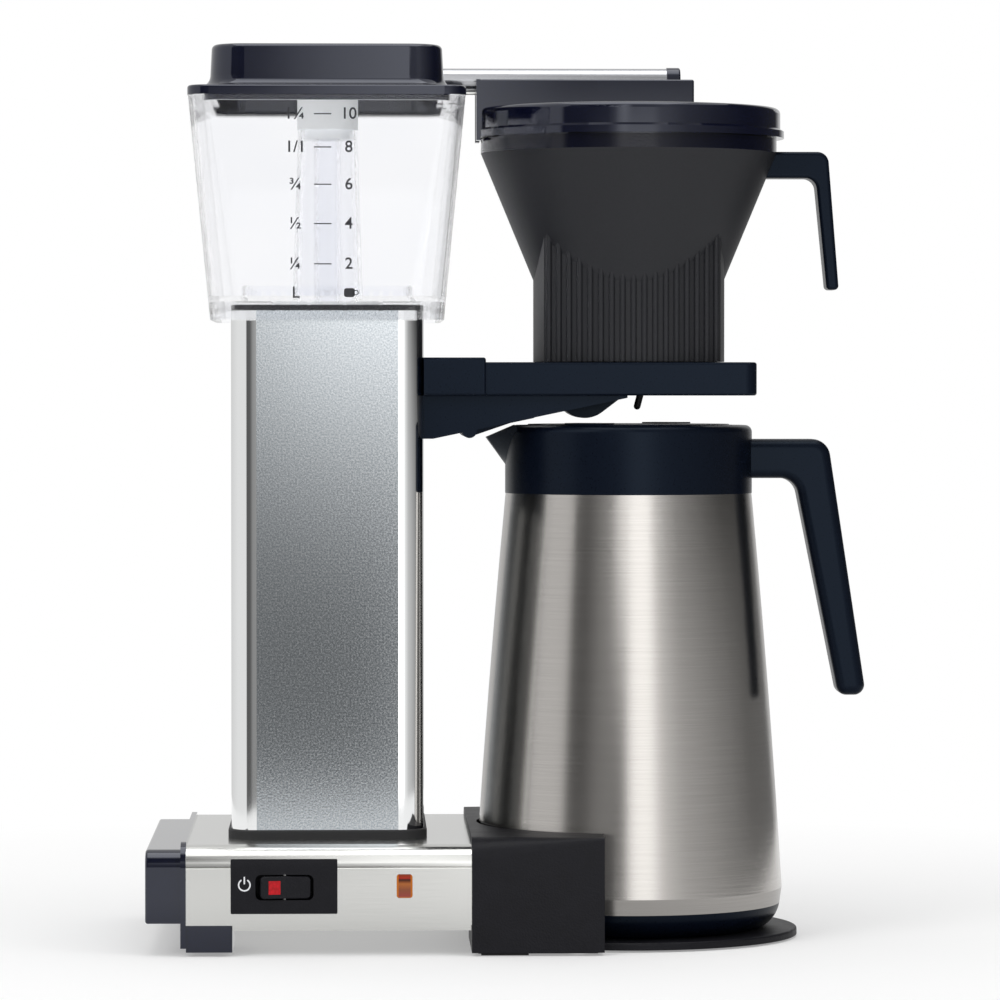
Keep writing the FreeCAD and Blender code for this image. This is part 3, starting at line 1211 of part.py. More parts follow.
def drip_lever():
    """Lever that the carafe's lid lifts: a toe over the spout, a cam over the lid, a tip under the valve."""
    px, pz = lever_pivot()
    root = CARAFE_X - px
    drop = HOLDER_BOTTOM - pz
    wire = outline(lambda u, v: V(CARAFE_X + u, -LEVER_HALF, HOLDER_BOTTOM + v), (-root, -drop - LEVER_EAR_R),
                   *(LEVER_LOWER + LEVER_UPPER), (-root, LEVER_EAR_R - drop))
    arm = Part.Face(wire).extrude(V(0, 2 * LEVER_HALF, 0))
    arm = arm.fuse(along_y(px, -LEVER_HALF, LEVER_HALF, pz, LEVER_EAR_R))
    hole = along_y(px, -LEVER_HALF - BREAK, LEVER_HALF + BREAK, pz, LEVER_PIN_R + PIN_GAP)
    return arm.cut(hole).removeSplitter()


def stand_prism(wall, z0, z1):
    """Upright block of the stand's four bowed sides, drawn in by wall."""
    cx = STAND_CORNER_X - wall
    cy = STAND_CORNER_Y - wall
    a = STAND_HALF_X - wall
    b = STAND_HALF_Y - wall
    wire = outline(lambda x, y: V(CARAFE_X + x, y, z0),
                   (-cx, -cy), ((0, -b), (cx, -cy)), ((a, 0), (cx, cy)), ((0, b), (-cx, cy)),
                   ((-a, 0), (-cx, -cy)))
    return Part.Face(wire).extrude(V(0, 0, z1 - z0))


def cone_solid(wall, z0):
    """Filled cone and band of the basket, drawn in by wall, from z0 to past the rim."""
    band = BASKET_RIM - BASKET_BAND
    top = BASKET_RIM + (BREAK if wall else 0)
    return turned(CARAFE_X, (0, z0), (cone_radius(z0) - wall, z0), (BASKET_RIM_R - wall, band),
                  (BASKET_RIM_R - wall, top), (0, top))


def stand_ribs(z0, z1):
    """Round vertical ribs along the stand's front and back faces."""
    sag = STAND_HALF_Y - STAND_CORNER_Y
    bow = (STAND_CORNER_X ** 2 + sag ** 2) / (2 * sag)
    centre = bow - STAND_HALF_Y
    spread = math.asin(STAND_CORNER_X / bow)
    ribs = []
    for n in range(STAND_RIBS):
        a = spread * (2 * (n + 0.5) / STAND_RIBS - 1)
        for side in (-1, 1):
            ribs.append(upright(CARAFE_X + bow * math.sin(a), side * (bow * math.cos(a) - centre),
                                z0, z1, STAND_RIB_R))
    return ribs


def brew_basket():
    floor = STAND_BOTTOM + BASKET_FLOOR
    under = floor - BASKET_FLOOR_THICK
    cone = cone_solid(0, under)
    stand_top = BASKET_RIM - BASKET_BAND
    stand = stand_prism(0, STAND_BOTTOM, stand_top).fuse(stand_ribs(STAND_BOTTOM, stand_top))
    stand = stand.cut([stand_prism(STAND_WALL, STAND_BOTTOM - BREAK, stand_top + BREAK), cone])
    spout_end = STAND_BOTTOM - BASKET_SPOUT_DROP
    spout = upright(CARAFE_X, 0, spout_end, floor, BASKET_SPOUT_R)
    basket = cone.fuse([stand, spout]).cut(cone_solid(BASKET_WALL, floor))
    basket = basket.cut(upright(CARAFE_X, 0, spout_end - BREAK, floor + BREAK, BASKET_SPOUT_BORE))
    bridge_top = bridge_under() + BRIDGE_THICK
    bridge = box(CARAFE_X - BASKET_SPOUT_R + BREAK, CARAFE_X + BASKET_SPOUT_R - BREAK,
                 -BRIDGE_WIDTH / 2, BRIDGE_WIDTH / 2, bridge_under(), bridge_top)
    bridge = bridge.cut(upright(CARAFE_X, 0, spout_end, bridge_top + BREAK, STEM_GUIDE_R + PIN_GAP))
    return basket.fuse(bridge).removeSplitter()


def drip_finger():
    """Rod from the mouth of the spout that leads the stream to the middle of the carafe's lid."""
    mouth = STAND_BOTTOM - BASKET_SPOUT_DROP
    top = V(CARAFE_X + (BASKET_SPOUT_R + BASKET_SPOUT_BORE) / 2, 0, mouth + BREAK)
    tip = V(CARAFE_X + DRIP_FINGER_OFFSET, 0, STAND_BOTTOM - DRIP_FINGER_DROP)
    finger = Part.makeCylinder(DRIP_FINGER_R, (tip - top).Length, top, tip - top)
    finger = finger.fuse(Part.makeSphere(DRIP_FINGER_R, tip)).removeSplitter()
    return finger.cut(box(top.x - BASKET_SPOUT_R, top.x + BASKET_SPOUT_R, -BASKET_SPOUT_R, BASKET_SPOUT_R,
                          mouth, top.z + BASKET_SPOUT_R))


def bridge_under():
    """Underside of the bridge across the spout that guides the valve stem."""
    return STAND_BOTTOM - BASKET_SPOUT_DROP + 2 * BREAK


def basket_handle():
    top = BASKET_RIM - BASKET_GRIP_TOP
    arm = top - BASKET_GRIP_ARM
    low = top - BASKET_GRIP_DROP
    root = CARAFE_X + cone_radius(arm) - BASKET_GRIP_ARM
    outer = CARAFE_X + BASKET_GRIP_REACH
    shoulder = outer - BASKET_GRIP_LEAN
    thick = BASKET_GRIP_THICK
    handle = bar(BASKET_GRIP_HALF, BASKET_GRIP_EDGE_R,
                 [(root, top, 0), (shoulder, top, BASKET_GRIP_BEND_R), (outer, low, BASKET_GRIP_TIP_R),
                  (outer - thick, low, BASKET_GRIP_TIP_R), (shoulder - thick, arm, BASKET_GRIP_BEND_R),
                  (root, arm, 0)])
    return handle.cut(cone_solid(0, STAND_BOTTOM))


def lid_levels():
    return BASKET_LID_BOTTOM, BASKET_LID_TOP, BASKET_LID_TOP + CHANNEL_HEIGHT


def basket_lid():
    z0, z1, z2 = lid_levels()
    x = CARAFE_X
    left = x - LID_LEFT
    end = x + CHANNEL_END
    outer = turned(x, (0, z0), (LID_LIP_R, z0), (LID_LIP_R, z0 + LID_LIP), (LID_R, z0 + LID_LIP + BREAK),
                   (LID_R, z1), (0, z1))
    outer = outer.makeFillet(LID_EDGE_R, level_edges(outer, z1))
    channel = box(left, end, -CHANNEL_OUTER, CHANNEL_OUTER, z0 + LID_WALL, z2)
    channel = channel.makeFillet(CHANNEL_EDGE_R, edges_where(channel, lambda b: b.ZMin > z1 or b.XMin > x))
    outer = outer.cut(box(left - LID_LIP_R, left, -LID_LIP_R, LID_LIP_R, z0 - BREAK, z2))
    tab = box(left - LID_TAB, left, -CHANNEL_OUTER, CHANNEL_OUTER, z0 - LID_TAB_DROP, z2)
    w = LID_WALL
    wall_ring = ring(x, 0, z0 - LID_SKIRT_DROP, z1 - w / 2, BASKET_RIM_R - BASKET_WALL - SLIDE_GAP,
                     BASKET_RIM_R - BASKET_WALL - SLIDE_GAP - w)
    hollow = upright(x, 0, z0 - BREAK, z1 - w, BASKET_RIM_R - BASKET_WALL - SLIDE_GAP - w)
    hollow = hollow.fuse(box(left + w, end - w, w - CHANNEL_OUTER, CHANNEL_OUTER - w, z0 - BREAK, z2 - w))
    lid = outer.fuse(channel).cut(hollow).fuse([tab, wall_ring])
    slot_end = x + SPRAY_REACH + NOTCH_GAP
    slot_wall = box(left, slot_end + w, -CHANNEL_HALF - w, CHANNEL_HALF + w, z0, z2 - w / 2)
    slot = box(left - LID_TAB - BREAK, slot_end, -CHANNEL_HALF, CHANNEL_HALF,
               z0 - LID_SKIRT_DROP - BREAK, z2 + BREAK)
    return lid.fuse(slot_wall).cut(slot).removeSplitter()


def valve_levels():
    """Heights of the valve's clip foot, its head and the seat in the basket floor."""
    foot = HOLDER_BOTTOM + LEVER_TIP + SLIDE_GAP
    seat = STAND_BOTTOM + BASKET_FLOOR
    return foot, seat + VALVE_LIFT, seat


def drip_valve():
    foot, head, _ = valve_levels()
    stem = upright(CARAFE_X, 0, foot, head + VALVE_HEAD, STEM_GUIDE_R)
    disc = upright(CARAFE_X, 0, head, head + VALVE_HEAD, VALVE_HEAD_R)
    clip = upright(CARAFE_X, 0, foot, foot + VALVE_CLIP, VALVE_CLIP_R)
    return stem.fuse([disc, clip]).removeSplitter()


def valve_seal():
    _, head, _ = valve_levels()
    return ring(CARAFE_X, 0, head - VALVE_SEAL, head, VALVE_HEAD_R, BASKET_SPOUT_BORE)


def valve_spring():
    foot, _, _ = valve_levels()
    low = foot + VALVE_CLIP + SPRING_WIRE_R
    high = bridge_under() - SPRING_WIRE_R
    helix = Part.makeHelix((high - low) / SPRING_TURNS, high - low, SPRING_R)
    helix.translate(V(CARAFE_X, 0, low))
    section = Part.Wire(Part.makeCircle(SPRING_WIRE_R, V(CARAFE_X + SPRING_R, 0, low), V(0, 1, 0)))
    return Part.Wire(helix).makePipeShell([section], True, True)


def carafe_shell():
    knee = CARAFE_BOTTOM + CARAFE_KNEE
    foot = CARAFE_BOTTOM + FOOT_RING_HEIGHT
    top = CARAFE_SHOULDER
    middle = (knee + top) / 2
    t = CARAFE_SHEET
    return turned(CARAFE_X, (FOOT_RING_TOP_R, foot), (CARAFE_FOOT_R, knee),
                  ((carafe_radius(middle), middle), (CARAFE_NECK_R, top)), (CARAFE_NECK_R - t, top),
                  ((carafe_radius(middle) - t, middle), (CARAFE_FOOT_R - t, knee)),
                  (FOOT_RING_TOP_R - t, foot))


def carafe_flask():
    t = CARAFE_SHEET
    floor = CARAFE_BOTTOM + FLASK_FLOOR
    knee = CARAFE_BOTTOM + CARAFE_KNEE
    top = CARAFE_SHOULDER
    wide = CARAFE_FOOT_R - FLASK_GAP
    neck = FLASK_NECK_R
    lip = top + FLASK_NECK_HEIGHT
    flange = CARAFE_NECK_R - t - FIT_GAP
    corner = wide - FLASK_CORNER
    bend = top - t - FLASK_SHOULDER
    return turned(CARAFE_X, (0, floor), (corner, floor), (wide, knee), (neck, bend), (neck, top - t),
                  (flange, top - t), (flange, top), (neck, top), (neck, lip), (neck - t, lip),
                  (neck - t, bend), (wide - t, knee), (corner, floor + t), (0, floor + t))


def carafe_base():
    z = CARAFE_BOTTOM
    top = z + FOOT_RING_HEIGHT
    inner = FOOT_RING_TOP_R - CARAFE_SHEET - FIT_GAP
    t = CARAFE_SHEET * 2
    chord = math.hypot(FOOT_RING_TOP_R - FOOT_RING_R, FOOT_RING_HEIGHT)
    middle = ((FOOT_RING_R + FOOT_RING_TOP_R) / 2 + FOOT_RING_BULGE * FOOT_RING_HEIGHT / chord,
              (z + top) / 2 - FOOT_RING_BULGE * (FOOT_RING_TOP_R - FOOT_RING_R) / chord)
    ring_foot = turned(CARAFE_X, (0, z), (FOOT_RING_R, z), (middle, (FOOT_RING_TOP_R, top)), (0, top))
    lip = upright(CARAFE_X, 0, top, top + t, inner)
    floor = V(CARAFE_X, 0, z + FOOT_FLOOR)
    hollow = Part.makeCone(FOOT_RING_R - t, inner - t, FOOT_RING_HEIGHT - FOOT_FLOOR, floor)
    mouth = upright(CARAFE_X, 0, top, top + t + BREAK, inner - t)
    return ring_foot.fuse(lip).cut([hollow, mouth]).removeSplitter()


def carafe_collar():
    z0 = CARAFE_SHOULDER
    z1 = CARAFE_TOP
    body = upright(CARAFE_X, 0, z0, z1, COLLAR_R)
    body = body.makeFillet(COLLAR_EDGE_R, level_edges(body, z1))
    flare = (SPOUT_REACH - COLLAR_R) / (SPOUT_HEIGHT - SPOUT_DROP)
    root = CARAFE_X - SPOUT_ROOT
    tip = CARAFE_X - SPOUT_REACH
    fall = SPOUT_DROP / (SPOUT_REACH - SPOUT_ROOT)

    def beak(wall, z_low, z_high):
        wires = []
        for z in (z_low, z_high):
            reach = COLLAR_R + flare * (z - z1 + SPOUT_HEIGHT) - wall
            wires.append(teardrop(CARAFE_X, COLLAR_R - BREAK - wall, reach, SPOUT_TIP_R - wall / 2, z))
        return Part.makeLoft(wires, True, True)

    spout = beak(0, z1 - SPOUT_HEIGHT, z1)
    spout = spout.common(box(tip - 2 * SPOUT_WALL, root, -COLLAR_R, COLLAR_R, z0, z1))
    far = tip - 4 * SPOUT_WALL
    slope = plate_xz(-COLLAR_R, COLLAR_R, (root, z1), (root, z1 + BREAK), (far, z1 + BREAK),
                     (far, z1 - fall * (root - far)))
    channel = beak(SPOUT_WALL, z1 - SPOUT_CHANNEL, z1 + BREAK)
    channel = channel.common(box(far, CARAFE_X - LID_SEAT_R / 2, -SPOUT_CHANNEL_HALF, SPOUT_CHANNEL_HALF,
                                 z0, z1 + BREAK))
    bore = upright(CARAFE_X, 0, z0 - BREAK, z1 + BREAK, LID_SEAT_R)
    return body.fuse(spout).cut([slope, channel, bore]).removeSplitter()


def carafe_handle():
    top = CARAFE_TOP - GRIP_ARM_TOP
    arm = top - GRIP_ARM
    tip = CARAFE_TOP - GRIP_TIP
    root = CARAFE_X + COLLAR_R - 2 * GRIP_EDGE_R
    shoulder = CARAFE_X + GRIP_SHOULDER
    corner = CARAFE_X + GRIP_CORNER
    inside = shoulder + GRIP_ARM * math.tan(GRIP_LEAN) - GRIP_THICK
    handle = bar(GRIP_WIDTH / 2, GRIP_EDGE_R,
                 [(root, top, 0), (shoulder, top, GRIP_BEND_R), (corner, tip, GRIP_TIP_R),
                  (corner - GRIP_TIP_THICK, tip, GRIP_TIP_R), (inside, arm, GRIP_BEND_R), (root, arm, 0)])
    return handle.cut(upright(CARAFE_X, 0, CARAFE_SHOULDER - BREAK, CARAFE_TOP + BREAK, COLLAR_R))


def carafe_lid():
    x = CARAFE_X
    top = CARAFE_TOP + LID_RISE
    seat = CARAFE_TOP - LID_DEPTH + SLIDE_GAP
    low = seat - LID_PLUG_DEPTH
    r = LID_SEAT_R - LID_GAP
    w = LID_PLUG_WALL
    funnel = stem_top()
    groove = low + 2 * SEAL_HEIGHT
    lid = turned(x, (LID_PLUG_R - w, low), (LID_PLUG_R, low), (LID_PLUG_R, groove),
                 (LID_PLUG_R - BREAK, groove), (LID_PLUG_R - BREAK, groove + SEAL_HEIGHT),
                 (LID_PLUG_R, groove + SEAL_HEIGHT), (LID_PLUG_R, seat), (r, seat), (r, top - BREAK),
                 (r - BREAK, top), (LID_FUNNEL_R, top), (STEM_BORE_R, funnel + BREAK), (STEM_BORE_R, funnel),
                 (STEM_R, funnel), (STEM_R, low), (STEM_R + w, low), (STEM_R + w, funnel - w),
                 (LID_FUNNEL_R, top - w), (LID_PLUG_R - w, top - w))
    ribs = []
    for turn in (0, 180):
        rib = box(x + LID_FUNNEL_R + BREAK, x + r - 2 * BREAK, -LID_RIB_HALF, LID_RIB_HALF,
                  top - BREAK, top + LID_RIB_HEIGHT)
        ribs.append(rib.rotate(V(x, 0, 0), V(0, 0, 1), LID_RIB_TURN + turn))
    return lid.fuse(ribs).removeSplitter()


def stem_top():
    """Underside of the lid's funnel hole, where the stem starts."""
    return CARAFE_TOP + LID_RISE - LID_FUNNEL_DEPTH


def lid_seal():
    low = CARAFE_TOP - LID_DEPTH + SLIDE_GAP - LID_PLUG_DEPTH + 2 * SEAL_HEIGHT
    outer = FLASK_NECK_R - CARAFE_SHEET - SLIDE_GAP
    return ring(CARAFE_X, 0, low, low + SEAL_HEIGHT, outer, LID_PLUG_R - BREAK)


def lid_stem():
    low = CARAFE_BOTTOM + FLASK_FLOOR + STEM_FOOT_GAP
    return ring(CARAFE_X, 0, low, stem_top(), STEM_R, STEM_BORE_R)


NODES = [base_housing, bottom_plate, end_cap, left_feet, foot_pads, carafe_cradle, carafe_plate, case_screws,
         switch_panel, switch_body, rocker_pin, power_rocker, rocker_lens, lamp_lens, lamp_holder, gland_nut,
         terminal_block, control_board, tower_housing, tower_gasket, tower_top_cap, boiler_tube,
         heating_element, thermostat, thermal_fuse, riser_coupler, riser_tube, inlet_hose, check_valve_body,
         check_ball, reservoir, reservoir_gasket, reservoir_nut, arm_connector, outlet_elbow, outlet_tube,
         outlet_tube_cap, arm_wire, reservoir_lid, basket_holder, holder_bracket, holder_screws, lever_pin,
         drip_lever, brew_basket, drip_finger, basket_handle, drip_valve, valve_seal, valve_spring,
         basket_lid, carafe_shell, carafe_flask, carafe_base, carafe_collar, carafe_handle, carafe_lid,
         lid_seal, lid_stem]

os.makedirs("parts", exist_ok=True)
shapes = {make.__name__: make() for make in NODES}

# The gland stands as proud at the back as the rocker does at the front, so the frame stays centred.
shapes["cord_gland"] = cord_gland(FRONT - shapes["power_rocker"].BoundBox.YMin)

for name, shape in shapes.items():
    shape.exportStep("parts/%s.step" % name)
    print(name, len(shape.Solids), shape.isValid(), round(shape.Volume / 1000, 2))
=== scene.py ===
import math

import bpy
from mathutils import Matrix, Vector


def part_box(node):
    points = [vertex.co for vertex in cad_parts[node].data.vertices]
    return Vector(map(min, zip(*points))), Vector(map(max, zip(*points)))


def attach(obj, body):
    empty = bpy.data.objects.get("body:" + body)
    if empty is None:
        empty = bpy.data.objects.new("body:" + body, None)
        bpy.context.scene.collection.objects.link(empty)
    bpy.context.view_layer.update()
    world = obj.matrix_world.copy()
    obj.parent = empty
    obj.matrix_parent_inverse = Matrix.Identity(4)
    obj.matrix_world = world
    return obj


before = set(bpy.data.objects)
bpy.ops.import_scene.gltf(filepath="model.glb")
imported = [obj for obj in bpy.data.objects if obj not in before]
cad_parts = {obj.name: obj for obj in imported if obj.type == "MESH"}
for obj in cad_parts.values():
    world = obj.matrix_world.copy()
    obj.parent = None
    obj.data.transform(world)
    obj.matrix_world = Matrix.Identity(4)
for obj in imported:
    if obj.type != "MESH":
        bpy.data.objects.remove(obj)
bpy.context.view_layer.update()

# Camera: a long lens a little over two metres in front of the machine, level with the holder,
# square to the front and a little to the left of the middle, so the tower shows no side.
eye = Vector((-0.0668, -2.23, 0.240))
aim = Vector((-0.0036, 0.0, 0.1899))
width_at_middle = 0.436
sensor_width = 36.0
camera_data = bpy.data.cameras.new("camera")
camera = bpy.data.objects.new("camera", camera_data)
bpy.context.collection.objects.link(camera)
camera.location = eye
camera.rotation_euler = (aim - eye).to_track_quat("-Z", "Y").to_euler()
camera_data.sensor_width = sensor_width
camera_data.lens = sensor_width * (aim - eye).length / width_at_middle
bpy.context.scene.camera = camera
bpy.context.scene.view_settings.view_transform = "Standard"


# Base, and the screws, pins, wire and spring: aluminium sheet folded to a channel over a plain pan, with
# small metal pieces finished the same way. Fine rolling grain runs along X, and the buffed surface keeps
# a soft mirror.
def linear(code):
    """sRGB hex colour as linear RGBA."""
    parts = [int(code[n:n + 2], 16) / 255 for n in (0, 2, 4)]
    return [c / 12.92 if c <= 0.04045 else ((c + 0.055) / 1.055) ** 2.4 for c in parts] + [1.0]


def add(material, kind, values=None, links=None, **settings):
    """Add a node with its settings, socket values and incoming links."""
    made = material.node_tree.nodes.new(kind)
    for name, value in settings.items():
        setattr(made, name, value)
    for socket, value in (values or {}).items():
        made.inputs[socket].default_value = value
    for socket, source in (links or {}).items():
        material.node_tree.links.new(source, made.inputs[socket])
    return made


def surface(name, **values):
    """New material with its Principled shader's constants set by socket name."""
    material = bpy.data.materials.new(name)
    material.use_nodes = True
    shader = material.node_tree.nodes["Principled BSDF"]
    for socket, value in values.items():
        shader.inputs[socket.replace("_", " ")].default_value = value
    return material, shader


def finish_nodes(material, *names):
    """Give CAD nodes their finish."""
    for name in names:
        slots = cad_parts[name].data.materials
        slots.clear()
        slots.append(material)


buffed_aluminium, shader = surface("buffed_aluminium", Metallic=1.0)
place = add(buffed_aluminium, "ShaderNodeTexCoord")
stretch = add(buffed_aluminium, "ShaderNodeMapping", {"Scale": (40, 2500, 2500)},
              {"Vector": place.outputs["Object"]})
grain = add(buffed_aluminium, "ShaderNodeTexNoise", {"Scale": 1.0, "Detail": 3.0},
            {"Vector": stretch.outputs["Vector"]})
tint = add(buffed_aluminium, "ShaderNodeMix", {"A": linear("d6d6d3"), "B": linear("e8e8e5")},
           {"Factor": grain.outputs["Fac"]}, data_type="RGBA")
haze = add(buffed_aluminium, "ShaderNodeMapRange", {"To Min": 0.14, "To Max": 0.24},
           {"Value": grain.outputs["Fac"]})
scratch = add(buffed_aluminium, "ShaderNodeBump", {"Strength": 0.05, "Distance": 0.0001},
              {"Height": grain.outputs["Fac"]})
links = buffed_aluminium.node_tree.links
links.new(tint.outputs["Result"], shader.inputs["Base Color"])
links.new(haze.outputs["Result"], shader.inputs["Roughness"])
links.new(scratch.outputs["Normal"], shader.inputs["Normal"])
finish_nodes(buffed_aluminium, "base_housing", "bottom_plate", "case_screws", "holder_screws",
             "rocker_pin", "arm_wire", "valve_spring", "check_ball", "heating_element", "thermostat")

# End cap, feet, the tank's and the basket's lids and the ends of the outlet: ABS moulded in blue-black
# with a high polish from the mould. Gloss varies a little, and the walls show a faint moulded ripple.
polished_abs, shader = surface("polished_abs", IOR=1.53, Coat_Weight=0.4, Coat_Roughness=0.04,
                               Specular_Tint=(0.8, 0.85, 1.0, 1.0))
place = add(polished_abs, "ShaderNodeTexCoord")
ripple = add(polished_abs, "ShaderNodeTexNoise", {"Scale": 60.0, "Detail": 2.0},
             {"Vector": place.outputs["Object"]})
tint = add(polished_abs, "ShaderNodeMix", {"A": linear("06081a"), "B": linear("0b0e20")},
           {"Factor": ripple.outputs["Fac"]}, data_type="RGBA")
haze = add(polished_abs, "ShaderNodeMapRange", {"To Min": 0.03, "To Max": 0.07},
           {"Value": ripple.outputs["Fac"]})
wave = add(polished_abs, "ShaderNodeBump", {"Strength": 0.03, "Distance": 0.0005},
           {"Height": ripple.outputs["Fac"]})
links = polished_abs.node_tree.links
links.new(tint.outputs["Result"], shader.inputs["Base Color"])
links.new(haze.outputs["Result"], shader.inputs["Roughness"])
links.new(wave.outputs["Normal"], shader.inputs["Normal"])
finish_nodes(polished_abs, "end_cap", "left_feet", "reservoir_lid", "basket_lid",
             "outlet_tube_cap", "outlet_elbow")

# Cradle, switch panel, rocker, the plate under the jug and the electrical mouldings: black ABS moulded
# with a fine leather grain. Its pebbles, under a millimetre across, turn highlights into a dull sheen.
grained_abs, shader = surface("grained_abs", IOR=1.5, Specular_IOR_Level=0.2)
place = add(grained_abs, "ShaderNodeTexCoord")
pebbles = add(grained_abs, "ShaderNodeTexVoronoi", {"Scale": 1300.0, "Randomness": 1.0},
              {"Vector": place.outputs["Object"]}, feature="SMOOTH_F1")
blotch = add(grained_abs, "ShaderNodeTexNoise", {"Scale": 120.0, "Detail": 3.0},
             {"Vector": place.outputs["Object"]})
tint = add(grained_abs, "ShaderNodeMix", {"A": linear("0d0d12"), "B": linear("17171d")},
           {"Factor": blotch.outputs["Fac"]}, data_type="RGBA")
haze = add(grained_abs, "ShaderNodeMapRange", {"To Min": 0.38, "To Max": 0.52},
           {"Value": blotch.outputs["Fac"]})
bumps = add(grained_abs, "ShaderNodeBump", {"Strength": 0.3, "Distance": 0.0003},
            {"Height": pebbles.outputs["Distance"]})
links = grained_abs.node_tree.links
links.new(tint.outputs["Result"], shader.inputs["Base Color"])
links.new(haze.outputs["Result"], shader.inputs["Roughness"])
links.new(bumps.outputs["Normal"], shader.inputs["Normal"])
finish_nodes(grained_abs, "carafe_cradle", "carafe_plate", "switch_panel", "power_rocker", "switch_body",
             "lamp_holder", "terminal_block", "cord_gland", "gland_nut")

# Foot pads and the tower's gasket: black moulded rubber, pressed between the pieces that they part.
# The skin is dry and dull, a little dusty, and gives no clear highlight.
black_rubber, shader = surface("black_moulded_rubber", IOR=1.52)
place = add(black_rubber, "ShaderNodeTexCoord")
dust = add(black_rubber, "ShaderNodeTexNoise", {"Scale": 400.0, "Detail": 4.0},
           {"Vector": place.outputs["Object"]})
tint = add(black_rubber, "ShaderNodeMix", {"A": linear("0c0c0e"), "B": linear("19191b")},
           {"Factor": dust.outputs["Fac"]}, data_type="RGBA")
haze = add(black_rubber, "ShaderNodeMapRange", {"To Min": 0.55, "To Max": 0.75},
           {"Value": dust.outputs["Fac"]})
black_rubber.node_tree.links.new(tint.outputs["Result"], shader.inputs["Base Color"])
black_rubber.node_tree.links.new(haze.outputs["Result"], shader.inputs["Roughness"])
finish_nodes(black_rubber, "foot_pads", "tower_gasket")

# Rocker window: red translucent polycarbonate, moulded and pressed into the rocker.
# It glows faintly with painted light though no lamp stands behind it, and small facets inside it break the
# red up.
red_polycarbonate, shader = surface("red_moulded_polycarbonate", IOR=1.58, Roughness=0.12,
                                    Specular_IOR_Level=0.2, Emission_Strength=0.08)
place = add(red_polycarbonate, "ShaderNodeTexCoord")
cells = add(red_polycarbonate, "ShaderNodeTexVoronoi", {"Scale": 700.0},
            {"Vector": place.outputs["Object"]})
tint = add(red_polycarbonate, "ShaderNodeMix", {"A": linear("c40a1a"), "B": linear("96060f")},
           {"Factor": cells.outputs["Distance"]}, data_type="RGBA")
red_polycarbonate.node_tree.links.new(tint.outputs["Result"], shader.inputs["Base Color"])
# Painted glow: the red tint also feeds the emission, so the lens shines faintly by itself.
red_polycarbonate.node_tree.links.new(tint.outputs["Result"], shader.inputs["Emission Color"])
finish_nodes(red_polycarbonate, "rocker_lens")

# Lamp lens: amber polycarbonate, snapped into the base's front with its neon bulb dark behind it.
# Its orange rim is a painted glow, and its face climbs through painted bands of light and shade: a dark bar
# where the bulb's top shows through, under a painted red glint.
amber_polycarbonate, shader = surface("amber_moulded_polycarbonate", IOR=1.58, Roughness=0.08,
                                      Specular_IOR_Level=0.2)
lens_low, lens_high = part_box("lamp_lens")
glow_rim_width = 0.0008
lens_foot, lens_top = "c2702c", "7a3010"
# Painted light and shade: colour bands from foot to top, with the dark bar at 0.77 and the red glint at 0.84.
painted_lens_bands = ((0.08, "8f4038"), (0.35, "84482f"), (0.6, "a8602c"), (0.7, "6b3212"), (0.77, "2c1206"),
              (0.84, "a3240a"))
place = add(amber_polycarbonate, "ShaderNodeTexCoord")
spot = add(amber_polycarbonate, "ShaderNodeSeparateXYZ", None, {"Vector": place.outputs["Object"]})
climb = add(amber_polycarbonate, "ShaderNodeMapRange", {"From Min": lens_low[2], "From Max": lens_high[2]},
            {"Value": spot.outputs["Z"]})
painted_light_ramp = add(amber_polycarbonate, "ShaderNodeValToRGB", None, {"Fac": climb.outputs["Result"]})
bands = painted_light_ramp.color_ramp.elements
bands[0].color = linear(lens_foot)
bands[1].color = linear(lens_top)
for at, colour in painted_lens_bands:
    bands.new(at).color = linear(colour)
aside = add(amber_polycarbonate, "ShaderNodeMath", {1: (lens_low[0] + lens_high[0]) / 2},
            {0: spot.outputs["X"]}, operation="SUBTRACT")
out = add(amber_polycarbonate, "ShaderNodeMath", None, {0: aside.outputs[0]}, operation="ABSOLUTE")
# Painted glow: a thin band along the lens's side edges takes a bright orange.
rim = add(amber_polycarbonate, "ShaderNodeMath", {1: (lens_high[0] - lens_low[0]) / 2 - glow_rim_width},
          {0: out.outputs[0]}, operation="GREATER_THAN")
tint = add(amber_polycarbonate, "ShaderNodeMix", {"B": linear("b8640f")},
           {"Factor": rim.outputs[0], "A": painted_light_ramp.outputs["Color"]}, data_type="RGBA")
amber_polycarbonate.node_tree.links.new(tint.outputs["Result"], shader.inputs["Base Color"])
finish_nodes(amber_polycarbonate, "lamp_lens")

# Power symbol: white ink printed on the switch panel, a broken ring with a bar in its gap.
# Each stroke is a thin flat print: the ring is cut open at the top and the bar has rounded ends.
white_ink, shader = surface("white_pad_printed_ink", Roughness=0.5)
place = add(white_ink, "ShaderNodeTexCoord")
speck = add(white_ink, "ShaderNodeTexNoise", {"Scale": 2500.0}, {"Vector": place.outputs["Object"]})
tint = add(white_ink, "ShaderNodeMix", {"A": linear("d4d6da"), "B": linear("f2f3f5")},
           {"Factor": speck.outputs["Fac"]}, data_type="RGBA")
white_ink.node_tree.links.new(tint.outputs["Result"], shader.inputs["Base Color"])


def select_only(piece):
    """Make one object the only selected and the active one."""
    bpy.ops.object.select_all(action="DESELECT")
    piece.select_set(True)
    bpy.context.view_layer.objects.active = piece


